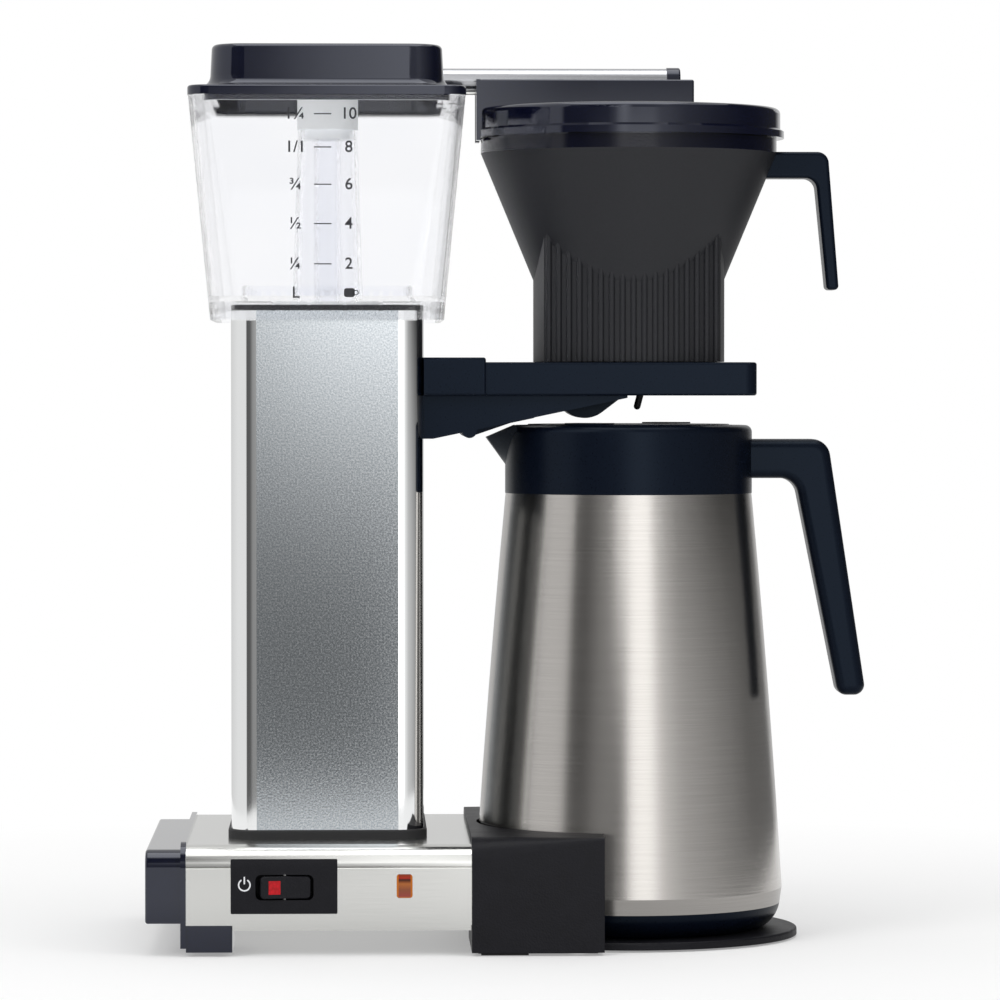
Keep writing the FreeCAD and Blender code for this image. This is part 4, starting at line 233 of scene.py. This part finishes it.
def printed_ring(radius, stroke, depth, gap_half):
    """Flat ring lying on XY, with a gap at +Y that spans twice the half angle."""
    ring_sides, cap_normal, end_sides = 72, 0.5, 8
    bpy.ops.object.select_all(action="DESELECT")
    bpy.ops.mesh.primitive_cylinder_add(vertices=ring_sides, radius=radius, depth=depth,
                                        location=(0, 0, depth / 2))
    made = bpy.context.object
    bpy.ops.object.transform_apply(location=True, rotation=True, scale=True)
    bpy.ops.object.mode_set(mode="EDIT")
    bpy.ops.mesh.select_mode(type="FACE")
    bpy.ops.mesh.select_all(action="DESELECT")
    bpy.ops.object.mode_set(mode="OBJECT")
    for face in made.data.polygons:
        face.select = abs(face.normal.z) > cap_normal
    bpy.ops.object.mode_set(mode="EDIT")
    bpy.ops.mesh.inset(thickness=stroke, use_individual=True)
    bpy.ops.mesh.bridge_edge_loops()
    bpy.ops.mesh.select_all(action="DESELECT")
    bpy.ops.object.mode_set(mode="OBJECT")
    for face in made.data.polygons:
        face.select = abs(math.atan2(face.center.x, face.center.y)) < gap_half
    bpy.ops.object.mode_set(mode="EDIT")
    bpy.ops.mesh.delete(type="FACE")
    bpy.ops.mesh.select_all(action="SELECT")
    bpy.ops.mesh.fill_holes(sides=end_sides)
    bpy.ops.object.mode_set(mode="OBJECT")
    return made


def printed_plate(width, height, corner, depth):
    """Flat plate with rounded corners, lying on XY and facing +Z."""
    corner_segments = 4
    bpy.ops.object.select_all(action="DESELECT")
    bpy.ops.mesh.primitive_plane_add(size=1)
    made = bpy.context.object
    made.scale = (width, height, 1)
    bpy.ops.object.transform_apply(location=True, rotation=True, scale=True)
    bpy.ops.object.mode_set(mode="EDIT")
    bpy.ops.mesh.select_all(action="SELECT")
    bpy.ops.mesh.bevel(offset=corner, segments=corner_segments, affect="VERTICES")
    bpy.ops.mesh.select_all(action="SELECT")
    bpy.ops.mesh.extrude_region_move(TRANSFORM_OT_translate={"value": (0, 0, depth)})
    bpy.ops.mesh.select_all(action="SELECT")
    bpy.ops.mesh.normals_make_consistent(inside=False)
    bpy.ops.object.mode_set(mode="OBJECT")
    return made


def stand_up(piece, at, lean):
    """Turn a flat print to face the front, lean it and set it in its place."""
    select_only(piece)
    piece.location = at
    piece.rotation_euler = (math.pi / 2 + lean, 0, 0)
    bpy.ops.object.transform_apply(location=True, rotation=True, scale=True)
    return piece


def join_prints(pieces, name, finish):
    """One printed piece from several strokes."""
    bpy.ops.object.select_all(action="DESELECT")
    for piece in pieces:
        piece.select_set(True)
    bpy.context.view_layer.objects.active = pieces[0]
    bpy.ops.object.join()
    made = bpy.context.object
    made.name = name
    made.data.materials.clear()
    made.data.materials.append(finish)
    return made


panel_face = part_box("switch_panel")[0][1]
symbol_x, symbol_z = -0.1133, 0.0303
ring_r, stroke, ink = 0.0027, 0.0006, 0.00006
ring_gap_half = math.radians(28)
bar_length, bar_rise = 0.0032, 0.0019
end_round = 0.4
ring = stand_up(printed_ring(ring_r, stroke, ink, ring_gap_half), (symbol_x, panel_face, symbol_z), 0)
bar = stand_up(printed_plate(stroke, bar_length, stroke * end_round, ink),
               (symbol_x, panel_face, symbol_z + bar_rise), 0)
symbol = join_prints([ring, bar], "power_symbol", white_ink)
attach(symbol, "machine")

# Tower: a drawn aluminium tube, blasted on its flat faces and left polished round its four corners.
# The blast leaves a grain of specks under a millimetre across; the corners are smooth, and their lighter tint
# is a painted highlight that makes them bright upright mirrors.
blasted_aluminium, shader = surface("blasted_aluminium", Metallic=1.0)
tower_low, tower_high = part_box("tower_housing")
corner_r = 0.011
tower_middle = [(low + high) / 2 for low, high in zip(tower_low, tower_high)]
flat_x, flat_y = [(tower_high[n] - tower_low[n]) / 2 - corner_r for n in (0, 1)]
place = add(blasted_aluminium, "ShaderNodeTexCoord")
offset = add(blasted_aluminium, "ShaderNodeVectorMath", {1: tower_middle}, {0: place.outputs["Object"]},
             operation="SUBTRACT")
spread = add(blasted_aluminium, "ShaderNodeVectorMath", None, {0: offset.outputs["Vector"]},
             operation="ABSOLUTE")
sides = add(blasted_aluminium, "ShaderNodeSeparateXYZ", None, {"Vector": spread.outputs["Vector"]})
past_x = add(blasted_aluminium, "ShaderNodeMath", {1: flat_x}, {0: sides.outputs["X"]},
             operation="GREATER_THAN")
past_y = add(blasted_aluminium, "ShaderNodeMath", {1: flat_y}, {0: sides.outputs["Y"]},
             operation="GREATER_THAN")
corner = add(blasted_aluminium, "ShaderNodeMath", None, {0: past_x.outputs[0], 1: past_y.outputs[0]},
             operation="MULTIPLY")
specks = add(blasted_aluminium, "ShaderNodeTexNoise", {"Scale": 1300.0, "Detail": 2.0},
             {"Vector": place.outputs["Object"]})
grain = add(blasted_aluminium, "ShaderNodeMapRange", {"From Min": 0.35, "From Max": 0.65},
            {"Value": specks.outputs["Fac"]})
face_tint = add(blasted_aluminium, "ShaderNodeMix", {"A": linear("b6bdc2"), "B": linear("d8dcdf")},
                {"Factor": grain.outputs["Result"]}, data_type="RGBA")
# Painted highlight: the polished corners take a lighter tint than the blasted faces.
tint = add(blasted_aluminium, "ShaderNodeMix", {"B": linear("eceded")},
           {"Factor": corner.outputs[0], "A": face_tint.outputs["Result"]}, data_type="RGBA")
face_haze = add(blasted_aluminium, "ShaderNodeMapRange", {"To Min": 0.09, "To Max": 0.15},
                {"Value": grain.outputs["Result"]})
haze = add(blasted_aluminium, "ShaderNodeMix", {"B": 0.05},
           {"Factor": corner.outputs[0], "A": face_haze.outputs["Result"]})
depth = add(blasted_aluminium, "ShaderNodeMapRange", {"To Min": 0.07, "To Max": 0.0},
            {"Value": corner.outputs[0]})
pits = add(blasted_aluminium, "ShaderNodeBump", {"Distance": 0.0002},
           {"Height": specks.outputs["Fac"], "Strength": depth.outputs["Result"]})
links = blasted_aluminium.node_tree.links
links.new(tint.outputs["Result"], shader.inputs["Base Color"])
links.new(haze.outputs["Result"], shader.inputs["Roughness"])
links.new(pits.outputs["Normal"], shader.inputs["Normal"])
finish_nodes(blasted_aluminium, "tower_housing")

# Tower's top cap, the tank's nut, the valves and small inner pieces: dark grey polypropylene, straight
# from a matte mould. The skin is fine-grained and takes a broad soft sheen.
matte_polypropylene, shader = surface("matte_polypropylene", IOR=1.49, Specular_IOR_Level=0.3)
place = add(matte_polypropylene, "ShaderNodeTexCoord")
skin = add(matte_polypropylene, "ShaderNodeTexNoise", {"Scale": 1500.0, "Detail": 2.0},
           {"Vector": place.outputs["Object"]})
tint = add(matte_polypropylene, "ShaderNodeMix", {"A": linear("16171b"), "B": linear("212227")},
           {"Factor": skin.outputs["Fac"]}, data_type="RGBA")
haze = add(matte_polypropylene, "ShaderNodeMapRange", {"To Min": 0.42, "To Max": 0.56},
           {"Value": skin.outputs["Fac"]})
rough = add(matte_polypropylene, "ShaderNodeBump", {"Strength": 0.15, "Distance": 0.0002},
            {"Height": skin.outputs["Fac"]})
links = matte_polypropylene.node_tree.links
links.new(tint.outputs["Result"], shader.inputs["Base Color"])
links.new(haze.outputs["Result"], shader.inputs["Roughness"])
links.new(rough.outputs["Normal"], shader.inputs["Normal"])
finish_nodes(matte_polypropylene, "tower_top_cap", "reservoir_nut", "check_valve_body", "drip_finger",
             "drip_valve", "control_board", "thermal_fuse")

# Brew basket: the same grey polypropylene, with a band under the rim that the mould polishes.
# The polish starts at a sharp line six millimetres below the rim, and everything lower stays matte.
basket_polypropylene, shader = surface("basket_polypropylene", IOR=1.49, Specular_IOR_Level=0.35)
place = add(basket_polypropylene, "ShaderNodeTexCoord")
skin = add(basket_polypropylene, "ShaderNodeTexNoise", {"Scale": 1500.0, "Detail": 2.0},
           {"Vector": place.outputs["Object"]})
height = add(basket_polypropylene, "ShaderNodeSeparateXYZ", None, {"Vector": place.outputs["Object"]})
band_height, band_edge = 0.006, 0.0002
band_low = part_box("brew_basket")[1][2] - band_height
polish = add(basket_polypropylene, "ShaderNodeMapRange",
             {"From Min": band_low - band_edge, "From Max": band_low}, {"Value": height.outputs["Z"]})
matte_tint = add(basket_polypropylene, "ShaderNodeMix", {"A": linear("17181c"), "B": linear("222328")},
                 {"Factor": skin.outputs["Fac"]}, data_type="RGBA")
tint = add(basket_polypropylene, "ShaderNodeMix", {"B": linear("090b1a")},
           {"Factor": polish.outputs["Result"], "A": matte_tint.outputs["Result"]}, data_type="RGBA")
matte_haze = add(basket_polypropylene, "ShaderNodeMapRange", {"To Min": 0.42, "To Max": 0.56},
                 {"Value": skin.outputs["Fac"]})
haze = add(basket_polypropylene, "ShaderNodeMix", {"B": 0.1},
           {"Factor": polish.outputs["Result"], "A": matte_haze.outputs["Result"]})
rough = add(basket_polypropylene, "ShaderNodeBump", {"Strength": 0.1, "Distance": 0.0002},
            {"Height": skin.outputs["Fac"]})
links = basket_polypropylene.node_tree.links
links.new(tint.outputs["Result"], shader.inputs["Base Color"])
links.new(haze.outputs["Result"], shader.inputs["Roughness"])
links.new(rough.outputs["Normal"], shader.inputs["Normal"])
finish_nodes(basket_polypropylene, "brew_basket")

# Boiler: bare copper tube, bent to shape and held inside the tower between the valve and the riser.
# Heat has dulled and stained it, so it is brown in patches and shines only weakly.
dull_copper, shader = surface("heat_dulled_copper", Metallic=1.0)
place = add(dull_copper, "ShaderNodeTexCoord")
stain = add(dull_copper, "ShaderNodeTexNoise", {"Scale": 90.0, "Detail": 4.0},
            {"Vector": place.outputs["Object"]})
tint = add(dull_copper, "ShaderNodeMix", {"A": linear("8a4a2c"), "B": linear("c97f57")},
           {"Factor": stain.outputs["Fac"]}, data_type="RGBA")
haze = add(dull_copper, "ShaderNodeMapRange", {"To Min": 0.25, "To Max": 0.5},
           {"Value": stain.outputs["Fac"]})
dull_copper.node_tree.links.new(tint.outputs["Result"], shader.inputs["Base Color"])
dull_copper.node_tree.links.new(haze.outputs["Result"], shader.inputs["Roughness"])
finish_nodes(dull_copper, "boiler_tube")

# Reservoir, riser and the stem under the jug's lid: clear moulded copolyester, faintly blue in its
# thickness. The walls are slightly wavy, show pale edges and pass light on with hardly a shadow.
clear_copolyester, shader = surface("clear_moulded_copolyester", IOR=1.14, Transmission_Weight=1.0,
                                    Coat_Weight=0.5, Coat_Roughness=0.03, Coat_IOR=1.45)
place = add(clear_copolyester, "ShaderNodeTexCoord")
flow = add(clear_copolyester, "ShaderNodeTexNoise", {"Scale": 25.0, "Detail": 1.0},
           {"Vector": place.outputs["Object"]})
tint = add(clear_copolyester, "ShaderNodeMix", {"A": linear("f8f9fc"), "B": linear("fdfdfe")},
           {"Factor": flow.outputs["Fac"]}, data_type="RGBA")
haze = add(clear_copolyester, "ShaderNodeMapRange", {"To Min": 0.0, "To Max": 0.03},
           {"Value": flow.outputs["Fac"]})
clear_copolyester.node_tree.links.new(tint.outputs["Result"], shader.inputs["Base Color"])
clear_copolyester.node_tree.links.new(haze.outputs["Result"], shader.inputs["Roughness"])
seen_cover, lit_cover = 0.7, 0.05
ray = add(clear_copolyester, "ShaderNodeLightPath")
lit = add(clear_copolyester, "ShaderNodeMath", None,
          {0: ray.outputs["Is Shadow Ray"], 1: ray.outputs["Is Diffuse Ray"]}, operation="MAXIMUM")
cover = add(clear_copolyester, "ShaderNodeMapRange", {"To Min": seen_cover, "To Max": lit_cover},
            {"Value": lit.outputs[0]})
clear_copolyester.node_tree.links.new(cover.outputs["Result"], shader.inputs["Alpha"])
finish_nodes(clear_copolyester, "reservoir", "riser_tube", "lid_stem")

# Outlet tube: stainless tube drawn through a die, with the die's faint lines along it.
# It is greyer and duller than the base, so its top is pale and its underside dark.
drawn_steel, shader = surface("drawn_steel", Metallic=1.0)
place = add(drawn_steel, "ShaderNodeTexCoord")
stretch = add(drawn_steel, "ShaderNodeMapping", {"Scale": (20, 3000, 3000)},
              {"Vector": place.outputs["Object"]})
lines = add(drawn_steel, "ShaderNodeTexNoise", {"Scale": 1.0, "Detail": 2.0},
            {"Vector": stretch.outputs["Vector"]})
tint = add(drawn_steel, "ShaderNodeMix", {"A": linear("a4a5a9"), "B": linear("c0c1c4")},
           {"Factor": lines.outputs["Fac"]}, data_type="RGBA")
haze = add(drawn_steel, "ShaderNodeMapRange", {"To Min": 0.16, "To Max": 0.26},
           {"Value": lines.outputs["Fac"]})
drawn_steel.node_tree.links.new(tint.outputs["Result"], shader.inputs["Base Color"])
drawn_steel.node_tree.links.new(haze.outputs["Result"], shader.inputs["Roughness"])
finish_nodes(drawn_steel, "outlet_tube")

# Hoses, seals and the connector on top of the riser: milky silicone, moulded soft and pushed into place.
# It glows faintly with painted light, in place of the light that scatters inside it, so it looks paler than
# the shade it stands in.
milky_silicone, shader = surface("milky_moulded_silicone", IOR=1.41, Roughness=0.45,
                                 Transmission_Weight=0.2, Emission_Color=linear("eef0f2"),
                                 Emission_Strength=0.2)
place = add(milky_silicone, "ShaderNodeTexCoord")
cloud = add(milky_silicone, "ShaderNodeTexNoise", {"Scale": 150.0, "Detail": 2.0},
            {"Vector": place.outputs["Object"]})
tint = add(milky_silicone, "ShaderNodeMix", {"A": linear("e9ebec"), "B": linear("f6f7f7")},
           {"Factor": cloud.outputs["Fac"]}, data_type="RGBA")
milky_silicone.node_tree.links.new(tint.outputs["Result"], shader.inputs["Base Color"])
finish_nodes(milky_silicone, "arm_connector", "inlet_hose", "riser_coupler", "reservoir_gasket", "lid_seal",
             "valve_seal")

# Scale on the reservoir's front: dark printed ink, litres on the left, cups on the right, a dash for each.
# The wall leans out towards the top, so each mark leans with it and stands a hair proud of the wall.
grey_ink, shader = surface("grey_pad_printed_ink", Roughness=0.55)
place = add(grey_ink, "ShaderNodeTexCoord")
speck = add(grey_ink, "ShaderNodeTexNoise", {"Scale": 2500.0}, {"Vector": place.outputs["Object"]})
tint = add(grey_ink, "ShaderNodeMix", {"A": linear("1c1d22"), "B": linear("33343a")},
           {"Factor": speck.outputs["Fac"]}, data_type="RGBA")
grey_ink.node_tree.links.new(tint.outputs["Result"], shader.inputs["Base Color"])
wall_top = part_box("reservoir")[1][2]
wall_height = 0.0943
wall_foot = wall_top - wall_height
foot_front, top_front = -0.067, -0.076
lean = math.atan2(foot_front - top_front, wall_top - wall_foot)
ink, stroke_gain = 0.00005, 0.00008
litres_x, dash_x, cups_x = -0.0917, -0.0803, -0.0693
figure_size, dash_length, dash_height = 0.0068, 0.0074, 0.0005
letter_z, cup_x, cup_z = 0.2789, -0.0691, 0.2790
cup_width, cup_height, cup_corner = 0.0046, 0.0038, 0.0011
ear_r, ear_stroke, ear_out = 0.0012, 0.0004, 0.0027
marks = (("1\u00bc", "10", 0.3540), ("1/1", "8", 0.3401), ("\u00be", "6", 0.3245),
         ("\u00bd", "4", 0.3080), ("\u00bc", "2", 0.2911))


def on_wall(x, z):
    """Point just in front of the reservoir's leaning front wall."""
    climb = (z - wall_foot) / (wall_top - wall_foot)
    return (x, foot_front + (top_front - foot_front) * climb, z)


def print_text(words, x, z, size):
    """Text as a thin printed mesh, centred on a point of the wall."""
    bpy.ops.object.select_all(action="DESELECT")
    bpy.ops.object.text_add()
    text = bpy.context.object
    text.data.body = words
    text.data.size = size
    text.data.align_x = "CENTER"
    text.data.align_y = "CENTER"
    text.data.extrude = ink
    text.data.offset = stroke_gain
    bpy.ops.object.convert(target="MESH")
    return stand_up(bpy.context.object, on_wall(x, z), lean)


prints = []
first_dash = printed_plate(dash_length, dash_height, dash_height * end_round, ink)
for litres, cups, z in marks:
    prints.append(print_text(litres, litres_x, z, figure_size))
    prints.append(print_text(cups, cups_x, z, figure_size))
    select_only(first_dash)
    bpy.ops.object.duplicate()
    prints.append(stand_up(bpy.context.object, on_wall(dash_x, z), lean))
bpy.data.objects.remove(first_dash)
prints.append(print_text("L", litres_x, letter_z, figure_size))
prints.append(stand_up(printed_plate(cup_width, cup_height, cup_corner, ink), on_wall(cup_x, cup_z), lean))
prints.append(stand_up(printed_ring(ear_r, ear_stroke, ink, 0), on_wall(cup_x + ear_out, cup_z), lean))
scale_print = join_prints(prints, "reservoir_scale", grey_ink)
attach(scale_print, "machine")

# Holder, bracket, lever, the basket's handle and the jug's collar, lid, foot and handle: nylon moulded in
# satin blue-black. The mould's fine spark grain breaks the highlights up into a soft band.
satin_nylon, shader = surface("satin_nylon", IOR=1.53, Specular_IOR_Level=0.14,
                              Specular_Tint=(0.6, 0.78, 1.0, 1.0))
place = add(satin_nylon, "ShaderNodeTexCoord")
spark = add(satin_nylon, "ShaderNodeTexNoise", {"Scale": 1200.0, "Detail": 2.0},
            {"Vector": place.outputs["Object"]})
tint = add(satin_nylon, "ShaderNodeMix", {"A": linear("060a14"), "B": linear("0b111e")},
           {"Factor": spark.outputs["Fac"]}, data_type="RGBA")
haze = add(satin_nylon, "ShaderNodeMapRange", {"To Min": 0.24, "To Max": 0.34},
           {"Value": spark.outputs["Fac"]})
grit = add(satin_nylon, "ShaderNodeBump", {"Strength": 0.08, "Distance": 0.0002},
           {"Height": spark.outputs["Fac"]})
links = satin_nylon.node_tree.links
links.new(tint.outputs["Result"], shader.inputs["Base Color"])
links.new(haze.outputs["Result"], shader.inputs["Roughness"])
links.new(grit.outputs["Normal"], shader.inputs["Normal"])
finish_nodes(satin_nylon, "basket_holder", "holder_bracket", "drip_lever", "lever_pin", "basket_handle",
             "carafe_collar", "carafe_handle", "carafe_base", "carafe_lid")

# Jug: drawn stainless steel, brushed on a lathe, so fine lines run round it and highlights stand upright.
# The lines are a few tenths of a millimetre apart, drawn coarse enough to show.
brushed_steel, shader = surface("brushed_steel", Metallic=1.0, Anisotropic=0.6)
place = add(brushed_steel, "ShaderNodeTexCoord")
stretch = add(brushed_steel, "ShaderNodeMapping", {"Scale": (30, 30, 5200)},
              {"Vector": place.outputs["Object"]})
lines = add(brushed_steel, "ShaderNodeTexNoise", {"Scale": 1.0, "Detail": 3.0},
            {"Vector": stretch.outputs["Vector"]})
tint = add(brushed_steel, "ShaderNodeMix", {"A": linear("aeaaa6"), "B": linear("c6c3bf")},
           {"Factor": lines.outputs["Fac"]}, data_type="RGBA")
haze = add(brushed_steel, "ShaderNodeMapRange", {"To Min": 0.15, "To Max": 0.2},
           {"Value": lines.outputs["Fac"]})
brush = add(brushed_steel, "ShaderNodeBump", {"Strength": 0.04, "Distance": 0.0002},
            {"Height": lines.outputs["Fac"]})
around = add(brushed_steel, "ShaderNodeTangent", direction_type="RADIAL", axis="Z")
links = brushed_steel.node_tree.links
links.new(tint.outputs["Result"], shader.inputs["Base Color"])
links.new(haze.outputs["Result"], shader.inputs["Roughness"])
links.new(brush.outputs["Normal"], shader.inputs["Normal"])
links.new(around.outputs["Tangent"], shader.inputs["Tangent"])
finish_nodes(brushed_steel, "carafe_shell", "carafe_flask")

# Floor: a plain pale sheet that the machine stands on. Close to the machine it is a lit matte sheet that
# takes the shadow, further off plain white for the eye and through clear walls; mirrors see white glow with
# painted shade near it.
floor_size = 30
pale_floor, shader = surface("pale_floor", Roughness=0.9, Base_Color=linear("f6f6f6"))
ray = add(pale_floor, "ShaderNodeLightPath")
mirror = add(pale_floor, "ShaderNodeMath", None,
             {0: ray.outputs["Is Camera Ray"], 1: ray.outputs["Is Glossy Ray"]}, operation="MAXIMUM")
seen = add(pale_floor, "ShaderNodeMath", None,
           {0: mirror.outputs[0], 1: ray.outputs["Is Transmission Ray"]}, operation="MAXIMUM")
place = add(pale_floor, "ShaderNodeTexCoord")
away = add(pale_floor, "ShaderNodeVectorMath", None, {0: place.outputs["Object"]}, operation="LENGTH")
fade = add(pale_floor, "ShaderNodeMapRange", {"From Min": 0.18, "From Max": 0.6, "To Min": 0.3},
           {"Value": away.outputs["Value"]})
far_white = add(pale_floor, "ShaderNodeMath", None, {0: seen.outputs[0], 1: fade.outputs["Result"]},
                operation="MULTIPLY")
white = add(pale_floor, "ShaderNodeMath", None, {0: far_white.outputs[0], 1: ray.outputs["Is Glossy Ray"]},
            operation="MAXIMUM")
# Painted shade: mirrors see the floor's glow dimmed close round the machine.
near = add(pale_floor, "ShaderNodeMapRange",
           {"From Min": 0.12, "From Max": 0.35, "To Min": 0.45, "To Max": 0.0},
           {"Value": away.outputs["Value"]})
painted_mirror_shade = add(pale_floor, "ShaderNodeMath", None, {0: near.outputs["Result"], 1: ray.outputs["Is Glossy Ray"]},
          operation="MULTIPLY")
level = add(pale_floor, "ShaderNodeMath", {0: 1.0}, {1: painted_mirror_shade.outputs[0]}, operation="SUBTRACT")
glow = add(pale_floor, "ShaderNodeEmission", None, {"Strength": level.outputs[0]})
blend = add(pale_floor, "ShaderNodeMixShader", None,
            {0: white.outputs[0], 1: shader.outputs["BSDF"], 2: glow.outputs["Emission"]})
output = pale_floor.node_tree.nodes["Material Output"]
pale_floor.node_tree.links.new(blend.outputs["Shader"], output.inputs["Surface"])
bpy.ops.object.select_all(action="DESELECT")
bpy.ops.mesh.primitive_plane_add(size=floor_size)
floor = bpy.context.object
floor.name = "floor"
floor.data.materials.append(pale_floor)

# Painted reflection wall: dark and lit cards stood close round the machine, which only mirrors see: painted
# reflections.
# They paint the metal's upright bands and keep the black plastic black. Each row of the table is an angle
# right of the front, with the card's level near the floor, beside the jug and level with the lids.
ring_r, ring_height, ring_sides, ring_ease = 0.8, 1.2, 96, 2.0
low_z, high_z, lids_z, top_z = 0.08, 0.28, 0.36, 0.42
cards = ((-90, 0.85, 0.85, 0.85), (-51, 0.85, 0.85, 0.85), (-48, 0.1, 0.1, 0.1), (-34, 0.12, 0.12, 0.12),
         (-24, 0.28, 0.3, 0.1), (-14, 0.3, 0.45, 0.1), (-9, 0.2, 0.95, 0.3), (-6, 0.2, 1.4, 1.2),
         (-2, 0.2, 1.5, 1.9), (1, 1.3, 1.6, 1.2), (4, 1.9, 2.0, 0.5), (18, 1.9, 2.0, 0.5),
         (24, 1.05, 1.0, 0.6), (31, 0.85, 0.72, 0.6), (42, 0.62, 0.4, 0.4), (62, 0.48, 0.2, 0.2),
         (78, 0.36, 0.1, 0.1), (90, 0.28, 0.05, 0.05), (104, 0.2, 0.04, 0.04), (138, 0.2, 0.06, 0.06),
         (150, 0.7, 0.7, 0.7), (215, 0.7, 0.7, 0.7), (270, 0.85, 0.85, 0.85))
painted_reflection_cards = bpy.data.materials.new("painted_reflection_cards")
painted_reflection_cards.use_nodes = True
painted_reflection_cards.node_tree.nodes.clear()
place = add(painted_reflection_cards, "ShaderNodeTexCoord")
turn = add(painted_reflection_cards, "ShaderNodeTexGradient", None, {"Vector": place.outputs["Object"]},
           gradient_type="RADIAL")
rings = []
for column in (1, 2, 3):
    ramp = add(painted_reflection_cards, "ShaderNodeValToRGB", None, {"Fac": turn.outputs["Fac"]})
    stops = ramp.color_ramp.elements
    for number, card in enumerate(cards):
        at = (card[0] - cards[0][0]) / 360
        stop = stops[0] if number == 0 else stops[-1] if at == 1 else stops.new(at)
        stop.color = (card[column], card[column], card[column], 1.0)
    rings.append(ramp)
height = add(painted_reflection_cards, "ShaderNodeSeparateXYZ", None, {"Vector": place.outputs["Object"]})
rise = add(painted_reflection_cards, "ShaderNodeMapRange", {"From Min": low_z, "From Max": high_z},
           {"Value": height.outputs["Z"]})
ease = add(painted_reflection_cards, "ShaderNodeMath", {1: ring_ease}, {0: rise.outputs["Result"]}, operation="POWER")
lower = add(painted_reflection_cards, "ShaderNodeMix", None,
            {"Factor": ease.outputs[0], "A": rings[0].outputs["Color"], "B": rings[1].outputs["Color"]},
            data_type="RGBA")
crown = add(painted_reflection_cards, "ShaderNodeMapRange", {"From Min": lids_z, "From Max": top_z},
            {"Value": height.outputs["Z"]})
level = add(painted_reflection_cards, "ShaderNodeMix", None,
            {"Factor": crown.outputs["Result"], "A": lower.outputs["Result"], "B": rings[2].outputs["Color"]},
            data_type="RGBA")
glow = add(painted_reflection_cards, "ShaderNodeEmission", None, {"Color": level.outputs["Result"]})
add(painted_reflection_cards, "ShaderNodeOutputMaterial", None, {"Surface": glow.outputs["Emission"]})
bpy.ops.object.select_all(action="DESELECT")
bpy.ops.mesh.primitive_cylinder_add(vertices=ring_sides, radius=ring_r, depth=ring_height,
                                    end_fill_type="NOTHING", location=(0, 0, ring_height / 2))
painted_reflection_wall = bpy.context.object
painted_reflection_wall.name = "painted_reflection_wall"
bpy.ops.object.transform_apply(location=True, rotation=True, scale=True)
painted_reflection_wall.data.materials.append(painted_reflection_cards)
painted_reflection_wall.visible_camera = False
painted_reflection_wall.visible_diffuse = False
painted_reflection_wall.visible_transmission = False
painted_reflection_wall.visible_shadow = False

# Light: a white room that is full white to the eye, to mirrors and through clear walls, and dimmer as a
# light. A broad soft box stands up on the left, with a weaker one on the right and one above.
room_light, room_seen = 0.6, 1.0
soft_boxes = (("soft_box_left", (-1.6, -1.6, 1.6), 1.2, 20.0),
              ("soft_box_right", (1.8, -1.2, 1.2), 1.0, 8.0), ("soft_box_top", (0.0, -0.2, 2.2), 1.6, 14.0))
machine_middle = Vector((0, 0, 0.19))
world = bpy.data.worlds.new("white_room")
bpy.context.scene.world = world
world.use_nodes = True
tree = world.node_tree
ray = add(world, "ShaderNodeLightPath")
mirror = add(world, "ShaderNodeMath", None,
             {0: ray.outputs["Is Camera Ray"], 1: ray.outputs["Is Glossy Ray"]}, operation="MAXIMUM")
seen = add(world, "ShaderNodeMath", None, {0: mirror.outputs[0], 1: ray.outputs["Is Transmission Ray"]},
           operation="MAXIMUM")
strength = add(world, "ShaderNodeMapRange", {"To Min": room_light, "To Max": room_seen},
               {"Value": seen.outputs[0]})
backdrop = tree.nodes["Background"]
backdrop.inputs["Color"].default_value = (1, 1, 1, 1)
tree.links.new(strength.outputs["Result"], backdrop.inputs["Strength"])
for name, at, size, power in soft_boxes:
    lamp = bpy.data.lights.new(name, "AREA")
    lamp.size = size
    lamp.energy = power
    box = bpy.data.objects.new(name, lamp)
    bpy.context.collection.objects.link(box)
    box.location = at
    box.rotation_euler = (machine_middle - Vector(at)).to_track_quat("-Z", "Y").to_euler()
